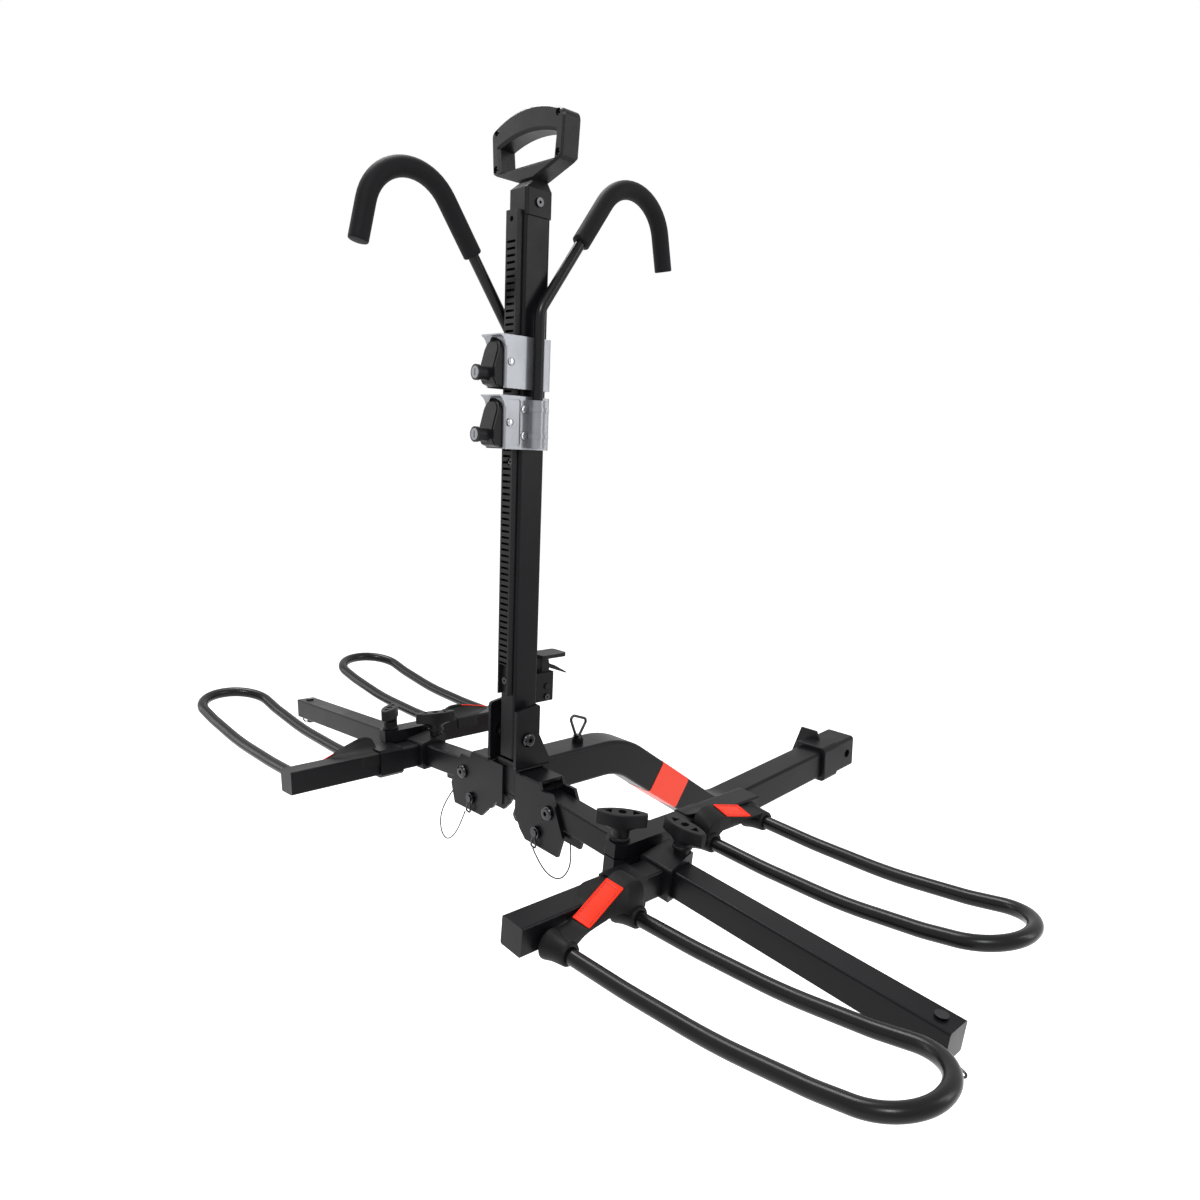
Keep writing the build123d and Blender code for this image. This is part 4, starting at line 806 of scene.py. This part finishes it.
    def sky(self) -> None:
        """Even studio surround, white to the camera and plain light for the object."""
        world = bpy.data.worlds.new("studio_surround")
        bpy.context.scene.world = world
        world.use_nodes = True
        tree = world.node_tree
        tree.nodes.clear()
        dim, white = [
            add_node(
                tree, "ShaderNodeBackground", {"Color": linear("#ffffff"), "Strength": strength}
            )
            for strength in (self.surround, 1.0)
        ]
        mix = add_node(
            tree,
            "ShaderNodeMixShader",
            {0: self.seen(tree), 1: dim.outputs[0], 2: white.outputs[0]},
        )
        add_node(tree, "ShaderNodeOutputWorld", {"Surface": mix.outputs[0]})

    def build(self) -> None:
        """Build the whole stage."""
        bpy.context.scene.view_settings.view_transform = "Standard"
        self.camera()
        self.floor()
        self.sky()
        for box in self.BOXES:
            box.build(self.aim)


@dataclass
class Lanyard:
    """Coated wire loop of a lock pin, along the same route as its CAD solid.

    steps are the route's control points outwards, back and up from the pin, which pin
    and plane_y place from the hub. length is the cord's length in metres; it is not used.
    """

    side: Side
    steps: tuple[Triple, ...]
    length: float
    wire: float = 1.8
    pin: tuple[float, float] = (72.0, -50.0)
    plane_y: float = -25.6

    def route(self) -> list[Vector]:
        """Control points of the loop.

        Returns:
            Points in the rack's frame, in metres.
        """
        out, up = self.pin
        sign = self.side.value
        return [hub(sign * (out + x), self.plane_y + y, up + z) for x, y, z in self.steps]

    def build(self, finish: bpy.types.Material) -> None:
        """Make the cord, which stands for its CAD solid.

        Args:
            finish: material of the wire.
        """
        name = f"{self.side.word}_pin_lanyard"
        curve = bpy.data.curves.new(name, "CURVE")
        curve.dimensions = "3D"
        curve.bevel_depth = self.wire / 2 * MM
        curve.bevel_resolution = 4
        curve.resolution_u = 12
        curve.use_fill_caps = True
        points = self.route()
        spline = curve.splines.new("NURBS")
        spline.points.add(len(points) - 1)
        for spot, point in zip(spline.points, points):
            spot.co = (*point, 1.0)
        spline.order_u = 3
        spline.use_endpoint_u = True
        curve.materials.append(finish)
        obj = bpy.data.objects.new(name, curve)
        bpy.context.scene.collection.objects.link(obj)
        body = f"{self.side.word}_lock"
        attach(obj, body)
        node = f"{self.side.word}_lanyard"
        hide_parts(node)
        log.info("%s on %s", name, body)


@dataclass(frozen=True)
class Tray:
    """Place of one wheel tray on its arm.

    distance is from the hub along X. root is the middle between the hoop's two roots
    and stud the foot of the clamp's knob, both in the tray tube's own frame, and
    knob_height is the top of the knob over that foot.
    """

    side: Side
    row: Row
    distance: float
    root: Triple
    stud: Triple
    knob_height: float

    @property
    def label(self) -> str:
        """Name stem, such as right_near."""
        return f"{self.side.word}_{self.row.name.lower()}"

    def tube_frame(self) -> Matrix:
        """Frame of the tray tube on its drooping arm.

        Returns:
            Matrix from the tube's millimetres to the rack's frame.
        """
        drop = (abs(self.distance) - ARM_PIVOT[0]) * tan(ARM_DROOP)
        origin = Vector((self.distance, 0.0, ARM_PIVOT[1] - drop))
        turn = Matrix.Rotation(ARM_DROOP * self.side.value, 4, "Y")
        return HUB_FRAME @ Matrix.Translation(origin) @ turn


@dataclass
class WheelStrap:
    """Rubber strap over a hoop's two roots: boots, bridge, skirt over the tube and red tag.

    toe and pitch turn the hoop on its tube and tilt leans the bridge outwards, all in
    degrees. crest scales the climb of the bridge, and lip lifts the skirt's ridge. inner
    is the gap to the tube's side, seam how far the stitches run inside the tag's edge,
    and the three lifts say how far tag, welt and stitches stand over what carries them.
    """

    tray: Tray
    toe: float
    pitch: float
    tilt: float
    crest: float = 1.0
    lip: float = 0.0
    half_span: float = 50.5
    width: float = 25.0
    inner: float = 1.3
    tag_width: float = 23.6
    tag_thick: float = 1.2
    tag_lift: float = 0.4
    welt: float = 0.8
    welt_lift: float = 0.55
    seam: float = 2.9
    seam_lift: float = 0.22
    sheet: float = 1.8
    boot_corners: int = 40

    # Top of the bridge from the low boot over the crest to the high boot, as pairs of
    # distance along the tube and height. Above SHOULDER the crest scales it.
    TOP: ClassVar[Outline] = [
        (-62.0, 2.0), (-57.5, 9.0), (-50.0, 12.6), (-38.0, 13.6), (-22.0, 16.2), (2.0, 29.0),
        (25.0, 41.4), (36.0, 45.6), (47.0, 44.4), (55.0, 37.5), (58.6, 27.0), (59.6, 14.0),
        (61.5, 3.0),
    ]
    SHOULDER: ClassVar[float] = 16.0
    # Underside of the bridge, back from the high boot to the low one.
    UNDERSIDE: ClassVar[Outline] = [
        (52.0, 0.0), (46.0, 2.0), (38.0, 7.0), (28.0, 13.0), (16.0, 15.4), (0.0, 15.0),
        (-18.0, 13.4), (-30.0, 10.4), (-40.0, 5.0), (-46.0, 1.0), (-53.0, 0.0),
    ]
    # Boot from the tube to its mouth on the hoop and back inside, as (distance, radius).
    BOOT: ClassVar[Outline] = [
        (0.3, 8.25), (0.3, 15.6), (1.2, 16.4), (3.0, 16.2), (7.0, 15.0), (12.0, 13.8),
        (18.0, 13.0), (25.0, 12.4), (28.2, 12.1), (29.4, 11.4), (29.8, 10.2), (29.2, 8.25),
    ]
    # Skirt behind the bridge, row by row: how far back it always reaches, how much
    # further where it covers the tube, and its fall. The fall is a share of the way
    # from ridge to tube in BACK, and millimetres below the tube's top in APRON.
    BACK: ClassVar[tuple[Triple, ...]] = ((1.5, 2.5, 0.24), (2.5, 7.0, 0.62), (3.5, 12.0, 0.92))
    APRON: ClassVar[tuple[Triple, ...]] = (
        (4.5, 19.0, 0.0), (5.5, 27.0, 0.0), (6.0, 28.6, 1.4), (6.0, 29.0, 5.0), (6.0, 29.0, 17.0),
    )
    # Parts of the top line that carry the skirt and the tag.
    SKIRT_SPAN: ClassVar[tuple[float, float]] = (-26.0, 56.0)
    TAG_SPAN: ClassVar[tuple[float, float]] = (-24.5, 27.5)
    # Start and length of three gradual changes: the lean with the height, and the
    # skirt's cover over the tube and its lip along the tube.
    LEANS: ClassVar[tuple[float, float]] = (10.0, 8.0)
    COVERS: ClassVar[tuple[float, float]] = (-26.0, 52.0)
    LIFTS: ClassVar[tuple[float, float]] = (-14.0, 16.0)

    @property
    def tube_top(self) -> float:
        """Height of the tray tube's top above the hoop's root."""
        return 25.0 if self.tray.row is Row.NEAR else 20.0

    @property
    def middle(self) -> float:
        """Distance of the strap's middle from the tube's side."""
        return self.inner + self.width / 2

    def at_root(self, turned: bool = True) -> Matrix:
        """Matrix from the hoop's own millimetres to the rack's frame.

        Args:
            turned: whether the hoop's toe and pitch are added to the tube's frame.

        Returns:
            The matrix.
        """
        mirror = Matrix.Scale(self.tray.side.value, 4, Vector((1, 0, 0)))
        place = self.tray.tube_frame() @ Matrix.Translation(Vector(self.tray.root)) @ mirror
        if not turned:
            return place
        toe = Matrix.Rotation(radians(self.toe), 4, "Z")
        return place @ toe @ Matrix.Rotation(radians(-self.pitch), 4, "Y")

    def leaned(self, x: float, z: float) -> float:
        """Height of a point of the bridge once it leans outwards.

        Args:
            x: distance from the tube's side.
            z: height before it leans.

        Returns:
            Height after, unchanged down at the boots.
        """
        return z + ramp(z, *self.LEANS) * tan(radians(self.tilt)) * (self.middle - x)

    def top_line(self) -> Outline:
        """Top of the bridge from the low boot over the crest to the high boot.

        Returns:
            (along the tube, height) pairs.
        """
        base = self.SHOULDER
        line = [(y, z if z < base else base + (z - base) * self.crest) for y, z in self.TOP]
        return curve_through(line, 5)

    def bridge(self) -> bmesh.types.BMesh:
        """Web between the boots: its side outline drawn across the strap's width.

        Returns:
            The bridge in the hoop's millimetres.
        """
        rise = self.tray.row.value
        outline = self.top_line() + curve_through(self.UNDERSIDE, 3)
        spots = [Vector((0, rise * y, z)) for y, z in outline]
        centre = sum(spots, Vector()) / len(spots)
        # Distance across the strap, and how far its rim is drawn in there.
        steps = (
            (0.0, 0.9), (0.25, 0.35), (1.0, 0.0), (self.width / 2, 0.0), (self.width - 1.6, 0.0),
            (self.width - 0.5, 0.5), (self.width, 1.4),
        )
        bm = bmesh.new()
        rings = []
        for across, inset in steps:
            x = self.inner + across
            drawn = [spot + (centre - spot).normalized() * inset for spot in spots]
            rings.append([bm.verts.new((x, spot.y, self.leaned(x, spot.z))) for spot in drawn])
        ends = join_rings(bm, rings, capped=True)[-2:]
        bmesh.ops.triangulate(bm, faces=ends)
        bmesh.ops.recalc_face_normals(bm, faces=bm.faces)
        return bm

    def boots(self, bm: bmesh.types.BMesh) -> None:
        """Add both boots: wide at the tube, drawn in to a plain mouth on the hoop.

        Args:
            bm: shape that gets them.
        """
        fresh = []
        for y in (-self.half_span, self.half_span):
            rings = [
                [bm.verts.new((x, y + a, b)) for a, b in circle(radius, self.boot_corners)]
                for x, radius in self.BOOT
            ]
            fresh += join_rings(bm, [*rings, rings[0]])
        bmesh.ops.recalc_face_normals(bm, faces=fresh)

    def skirt(self) -> bmesh.types.BMesh:
        """Sheet that goes from the bridge's inner edge over the tray tube and down behind it.

        Returns:
            The sheet in the tube's millimetres, from the hoop's root.
        """
        top = self.tube_top + self.sheet / 2
        first, last = self.SKIRT_SPAN
        bm = bmesh.new()
        rows = []
        for y, z in self.top_line():
            if not first <= y <= last:
                continue
            share = ramp(y, *self.COVERS)
            cover = share * share * (3 - 2 * share)
            ridge = self.leaned(self.inner + 1.0, z) - 0.4 + self.lip * ramp(y, *self.LIFTS)
            drop = max(ridge - top, 0.0)
            # It begins inside the bridge, comes up to the ridge and falls behind it.
            hidden = self.inner + 4.0
            shape = [(hidden, self.leaned(hidden, z) - 1.2), (self.inner + 0.6, ridge)]
            for back, more, fall in self.BACK:
                shape.append((self.inner - back - more * cover, ridge - drop * fall))
            for back, more, fall in self.APRON:
                shape.append((self.inner - back - more * cover, min(top, ridge) - fall * cover))
            rows.append([bm.verts.new((x, self.tray.row.value * y, h)) for x, h in shape])
        for near, far in zip(rows, rows[1:]):
            for k in range(len(near) - 1):
                bm.faces.new((near[k], near[k + 1], far[k + 1], far[k]))
        bmesh.ops.recalc_face_normals(bm, faces=bm.faces)
        if sum(f.normal.z for f in bm.faces) < 0:
            bmesh.ops.reverse_faces(bm, faces=bm.faces)
        bmesh.ops.solidify(bm, geom=bm.faces[:], thickness=self.sheet)
        bmesh.ops.recalc_face_normals(bm, faces=bm.faces)
        return bm

    def tag_line(self) -> list[Vector]:
        """Centre line of the tag on the sloping top of the bridge.

        Returns:
            Points in the hoop's millimetres.
        """
        first, last = self.TAG_SPAN
        line = [p for p in self.top_line() if first <= p[0] <= last]
        points = []
        for i, (y, z) in enumerate(line):
            before, after = line[max(i - 1, 0)], line[min(i + 1, len(line) - 1)]
            run = Vector((0, after[0] - before[0], after[1] - before[1])).normalized()
            lift = Vector((0, -run.z, run.y)) * self.tag_lift
            points.append(Vector((self.middle, self.tray.row.value * (y + lift.y), z + lift.z)))
        return points

    def rim(self, bm: bmesh.types.BMesh, line: list[Vector], lean: Vector) -> None:
        """Raised welt round the tag's edge.

        Args:
            bm: the tag's shape, which gets the welt.
            line: the tag's centre line.
            lean: direction across the tag.
        """
        inset = self.tag_width / 2 - self.welt
        raised = Vector((0, 0, self.welt_lift))
        sides = [[p + lean * (sign * inset) + raised for p in line] for sign in (1, -1)]
        ends = [[sides[0][i], sides[1][i]] for i in (0, -1)]
        for edge in sides + ends:
            welt = swept(edge, [circle(self.welt, 8)] * len(edge))
            scrap = bpy.data.meshes.new("welt")
            welt.to_mesh(scrap)
            welt.free()
            bm.from_mesh(scrap)
            bpy.data.meshes.remove(scrap)

    def build(
        self,
        skin: bpy.types.Material,
        red: bpy.types.Material,
        sewn: bpy.types.Material,
        row: PathRepeat,
    ) -> None:
        """Make the rubber piece, the tag and its stitches.

        Args:
            skin: strap rubber.
            red: vinyl of the tag.
            sewn: thread of the tag's border.
            row: stitch row used on the border.
        """
        label = self.tray.label
        body = f"{label}_tray"
        place = self.at_root()
        bm = self.bridge()
        self.boots(bm)
        mesh = mesh_of(bm, f"{label}_wheel_strap", place)
        smooth(mesh, angle=42)
        strap = finished(mesh, f"{label}_wheel_strap", skin, body)
        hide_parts(f"{label}_strap")
        sheet = mesh_of(self.skirt(), f"{label}_strap_skirt", self.at_root(turned=False))
        smooth(sheet, angle=42)
        finished(sheet, f"{label}_strap_skirt", skin, body)
        line = self.tag_line()
        lean = Vector((1, 0, -tan(radians(self.tilt)))).normalized()
        section = rounded_box(self.tag_width, self.tag_thick, 0.5, 2)
        tag_bm = swept(line, [section] * len(line), lean)
        self.rim(tag_bm, line, lean)
        tag = mesh_of(tag_bm, f"{label}_tag", place)
        smooth(tag)
        finished(tag, f"{label}_tag", red, body)
        inset = self.tag_width / 2 - self.seam
        raised = Vector((0, 0, self.tag_thick / 2 + self.seam_lift))
        border = [p + raised for p in line[1:-1]]
        loop = [p + lean * inset for p in border] + [p - lean * inset for p in reversed(border)]
        loop.append(loop[0])
        seam = row.along([[place @ p for p in loop]], f"{label}_tag_stitches", sewn, body)


@dataclass
class KnobSkirt:
    """Tapered underside of a clamp knob's head and the sleeve down to its foot.

    turn is the knob's angle on its stud in degrees. The head is a lens in plan with
    round ends: half is its half length, belly and tip its half width in the middle and
    at the ends, and narrow the underside's share of that width.
    """

    tray: Tray
    turn: float
    head: float = 15.0
    half: float = 29.0
    belly: float = 10.5
    tip: float = 3.5
    narrow: float = 0.95
    stem: float = 10.3
    corners: int = 48

    # Height from the head's underside, length as a share of the head's, and how far
    # the outline has gone over from the head's lens to the stem's circle.
    TAPER: ClassVar[tuple[Triple, ...]] = (
        (2.5, 0.93, 0.0), (0.2, 0.9, 0.0), (-2.2, 0.72, 0.25), (-4.6, 0.5, 0.6),
        (-6.4, 0.3, 0.92), (-7.4, 0.3, 1.0),
    )
    # Height from the foot and radius as a share of the stem's, flared at the foot.
    FOOT: ClassVar[Outline] = [(4.0, 1.0), (3.2, 1.08), (2.8, 1.13), (0.4, 1.13)]

    def lens(self) -> Outline:
        """Outline of the head's underside, corner by corner with the stem's circle.

        Returns:
            (across, up) pairs.
        """
        out = []
        for cx, cy in circle(1.0, self.corners):
            y = self.tip + (self.belly - self.tip) * (1 - cx**2)
            side = 1 if cy > 0 else -1
            rounding = min(abs(cy) * 4.0, 1.0)
            out.append((self.half * cx, side * y * self.narrow * rounding))
        return out

    def build(self, finish: bpy.types.Material) -> None:
        """Make the piece.

        Args:
            finish: nylon of the knob.
        """
        low = self.tray.knob_height - self.head
        levels = [(low + z, spread, share) for z, spread, share in self.TAPER]
        levels += [(z, 1.0, share) for z, share in self.FOOT]
        outlines = list(zip(self.lens(), circle(self.stem, self.corners)))
        bm = bmesh.new()
        rings = []
        for z, spread, share in levels:
            keep = 1 - min(share, 1)
            rings.append(
                [
                    bm.verts.new((x * spread * keep + cx * share, y * keep + cy * share, z))
                    for (x, y), (cx, cy) in outlines
                ]
            )
        join_rings(bm, rings, capped=True)
        place = self.tray.tube_frame() @ Matrix.Translation(Vector(self.tray.stud))
        place = place @ Matrix.Rotation(radians(self.turn), 4, "Z")
        name = f"{self.tray.label}_knob_skirt"
        mesh = mesh_of(bm, name, place)
        smooth(mesh, angle=30)
        finished(mesh, name, finish, f"{self.tray.label}_clamp")


@dataclass
class PinHeads:
    """Bright domes over both heads of the release pin through a carriage.

    low and height are the carriage's underside over the hub and its height, across is
    how far the heads are from the middle, y their place along Y from the hub, and rise
    how far they stand out.
    """

    label: str
    low: float
    height: float
    across: float = 19.1
    y: float = -37.0
    radius: float = 4.3
    rise: float = 1.3
    corners: int = 28

    # Dome over the rise, as (height, share of the radius).
    DOME: ClassVar[Outline] = [(0.0, 1.0), (0.5, 0.9), (0.9, 0.62), (1.05, 0.3)]

    def build(self, finish: bpy.types.Material) -> None:
        """Make the two domes as one piece.

        Args:
            finish: plating of the pin.
        """
        profile = [(0.1, 1.0), *((self.rise + out, share) for out, share in self.DOME)]
        middle = self.low + self.height / 2
        bm = bmesh.new()
        for sign in (1, -1):
            rings = [
                [
                    bm.verts.new((sign * (self.across + out), self.y + a, middle + b))
                    for a, b in circle(self.radius * share, self.corners)
                ]
                for out, share in profile
            ]
            join_rings(bm, rings, capped=True)
        name = f"{self.label}_pin_heads"
        mesh = mesh_of(bm, name, HUB_FRAME)
        smooth(mesh, angle=50)
        finished(mesh, name, finish, f"{self.label}_trigger")


@dataclass
class EndPlug:
    """Moulded plug in the near end of the stinger tube, slightly crowned.

    half is its half width and face the place of its face along Y from the hub.
    """

    half: float = 20.4
    corner: float = 2.0
    face: float = -16.0

    # From the tapered back over the eased rim to the crown, as pairs of depth behind
    # the face and how far in from the sides.
    RIM: ClassVar[Outline] = [(5.0, 0.6), (0.8, 0.0), (0.2, 0.5), (0.0, 1.3), (-0.15, 9.0)]

    def build(self, finish: bpy.types.Material) -> None:
        """Make the plug.

        Args:
            finish: plastic of the plug.
        """
        bm = bmesh.new()
        rings = []
        for back, inset in self.RIM:
            size = 2 * (self.half - inset)
            ring = rounded_box(size, size, max(self.corner - inset, 0.4), 3)
            rings.append([bm.verts.new((a, self.face + back, b)) for a, b in ring])
        join_rings(bm, rings, capped=True)
        mesh = mesh_of(bm, "stinger_end_plug", HUB_FRAME)
        smooth(mesh, angle=30)
        finished(mesh, "stinger_end_plug", finish, "chassis")


@dataclass
class HookSleeve:
    """Foam sleeve of a frame hook, cut off square with a slightly eased end.

    The hook's bar climbs from its foot at the slope, turns over on the corner's radius
    and drops. The sleeve begins start up the climb and ends overhang past the drop.
    """

    side: Side
    slider: str
    foot_z: float
    foot_x: float = 26.0
    foot_y: float = -1.7
    slope: float = radians(54.8)
    rise: float = 289.1
    drop_angle: float = radians(77.0)
    drop: float = 150.0
    overhang: float = 16.0
    corner: float = 55.0
    start: float = 102.6
    radius: float = 11.0
    corners: int = 36
    steps: tuple[int, int, int] = (14, 20, 12)

    # Rings at both ends, as (distance from the end, share of the radius).
    EASED_START: ClassVar[Outline] = [(0.0, 0.9), (1.2, 1.0)]
    EASED_END: ClassVar[Outline] = [(2.2, 1.0), (1.0, 0.985), (0.3, 0.94), (0.0, 0.86)]

    def line(self) -> list[Vector]:
        """Centre line of the sleeve in the hook's plane.

        Returns:
            Points in hub millimetres, from the climb over the corner to the drop.
        """
        lean = self.side.value
        base = Vector((self.foot_x * lean, self.foot_y, self.foot_z))
        climb = Vector((0, lean * cos(self.slope), sin(self.slope)))
        fall = Vector((0, lean * cos(self.drop_angle), -sin(self.drop_angle)))
        top = base + climb * self.rise
        turn = climb.angle(fall)
        reach = self.corner * tan(turn / 2)
        centre = top + (fall - climb).normalized() * (self.corner / cos(turn / 2))
        spoke = top - climb * reach - centre
        axis = climb.cross(fall).normalized()
        straight = self.rise - reach - self.start
        tail = self.drop - reach + self.overhang
        up, over, down = self.steps
        points = [base + climb * (self.start + straight * i / up) for i in range(up)]
        points += [
            centre + Matrix.Rotation(turn * i / over, 3, axis) @ spoke for i in range(over)
        ]
        points += [top + fall * (reach + tail * i / down) for i in range(down + 1)]
        return points

    def build(self, finish: bpy.types.Material) -> None:
        """Make the sleeve and let it stand for its CAD solid.

        Args:
            finish: foam material.
        """
        points = self.line()
        onward = (points[1] - points[0]).normalized()
        outward = (points[-1] - points[-2]).normalized()
        stops = [(points[0] + onward * way, share) for way, share in self.EASED_START]
        stops += [(point, 1.0) for point in points[1:-1]]
        stops += [(points[-1] - outward * way, share) for way, share in self.EASED_END]
        sections = [circle(self.radius * share, self.corners) for _, share in stops]
        name = f"{self.side.word}_foam_sleeve"
        mesh = mesh_of(swept([point for point, _ in stops], sections), name, HUB_FRAME)
        smooth(mesh, angle=50)
        obj = finished(mesh, name, finish, self.slider)
        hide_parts(f"{self.side.word}_hook_sleeve")


@dataclass
class Welds:
    """Weld beads where the coated steel parts of the hub meet."""

    pitch: float = 1.7
    length: float = 3.0
    width: float = 4.2

    # One side's beads between two (out, back, up) points: down the rear ear plate,
    # along the top web, and along the foot of the mast bracket's cheek.
    BEADS: ClassVar[tuple[tuple[Triple, Triple], ...]] = (
        ((25.9, 21.1, 16.0), (25.9, 21.1, -24.0)),
        ((25.9, -20.0, 17.9), (25.9, 20.0, 17.9)),
        ((30.9, -24.0, 19.5), (30.9, 30.0, 19.5)),
    )

    def lines(self) -> list[list[Vector]]:
        """Bead lines of both sides.

        Returns:
            Lines in the rack's frame, in metres.
        """
        return [
            [hub(side.value * out, back, up) for out, back, up in bead]
            for side in Side
            for bead in self.BEADS
        ]

    def build(self, finish: bpy.types.Material) -> None:
        """Make the rows of beads as one piece.

        Args:
            finish: coat on the beads.
        """
        row = PathRepeat(Repeat.WELD, self.pitch, self.length, self.width)
        beads = row.along(self.lines(), "chassis_weld_beads", finish, "chassis")


def dress(mats: dict[Finish, bpy.types.Material]) -> None:
    """Give every visible CAD node its finish.

    Args:
        mats: material of each finish.
    """
    for finish, nodes in WORN.items():
        for node in nodes:
            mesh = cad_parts[node].data
            mesh.materials.clear()
            mesh.materials.append(mats[finish])
            log.info("%s wears %s", node, finish.name)


def main() -> None:
    """Build the stage, the finishes and the pieces."""
    Stage().build()
    mats = {finish: finish.build() for finish in FINISHES}
    for lanyard in (
        Lanyard(
            Side.RIGHT,
            (
                (1, -2.15, -19.85), (18, -6, -31), (38, -6, -42), (58, -4, -41), (68, 1, -26),
                (65, 7, -10), (54, 14, 2),
            ),
            0.1146,
        ),
        Lanyard(
            Side.LEFT,
            (
                (5, -2.15, -19.3), (12, -6, -42), (27, -7, -64), (47, -6, -76), (64, -4, -66),
                (68, -1, -44), (62, 6, -21), (53, 14, -2),
            ),
            0.1599,
        ),
    ):
        lanyard.build(mats[lanyard_wire])
    dress(mats)
    HookSleeve(Side.RIGHT, "lower_slider", foot_z=585.0).build(mats[foam])
    HookSleeve(Side.LEFT, "upper_slider", foot_z=557.0).build(mats[foam])
    near_stud, far_stud = (6.0, 12.0, 31.0), (0.0, -38.0, 33.8)
    right_near = Tray(Side.RIGHT, Row.NEAR, 280.0, (14.0, -135.5, -9.0), near_stud, 28.0)
    right_far = Tray(Side.RIGHT, Row.FAR, 236.0, (16.0, 126.5, 13.5), far_stud, 33.0)
    left_near = Tray(Side.LEFT, Row.NEAR, -217.0, (-18.0, -135.5, -9.0), near_stud, 28.0)
    left_far = Tray(Side.LEFT, Row.FAR, -257.0, (-16.0, 126.5, 13.5), far_stud, 33.0)
    stitches = PathRepeat(Repeat.STITCH, pitch=3.2, length=2.3, width=1.0)
    for strap in (
        WheelStrap(right_near, toe=4.0, pitch=2.8, tilt=5.0),
        WheelStrap(right_far, toe=0.8, pitch=2.8, tilt=17.0, crest=0.5),
        WheelStrap(left_near, toe=-2.6, pitch=5.6, tilt=32.0, crest=0.62, lip=2.4),
        WheelStrap(left_far, toe=-1.6, pitch=5.6, tilt=24.0, crest=0.4, lip=1.6),
    ):
        strap.build(mats[rubber], mats[vinyl], mats[thread], stitches)
    for tray, turn in ((right_near, 0.0), (left_near, 70.0), (right_far, 45.0), (left_far, -45.0)):
        KnobSkirt(tray, turn).build(mats[nylon])
    PinHeads("lower", low=425.0, height=62.0).build(mats[zinc])
    PinHeads("upper", low=495.0, height=60.0).build(mats[zinc])
    EndPlug().build(mats[nylon])
    Welds().build(mats[powder])


if __name__ == "__main__":
    main()
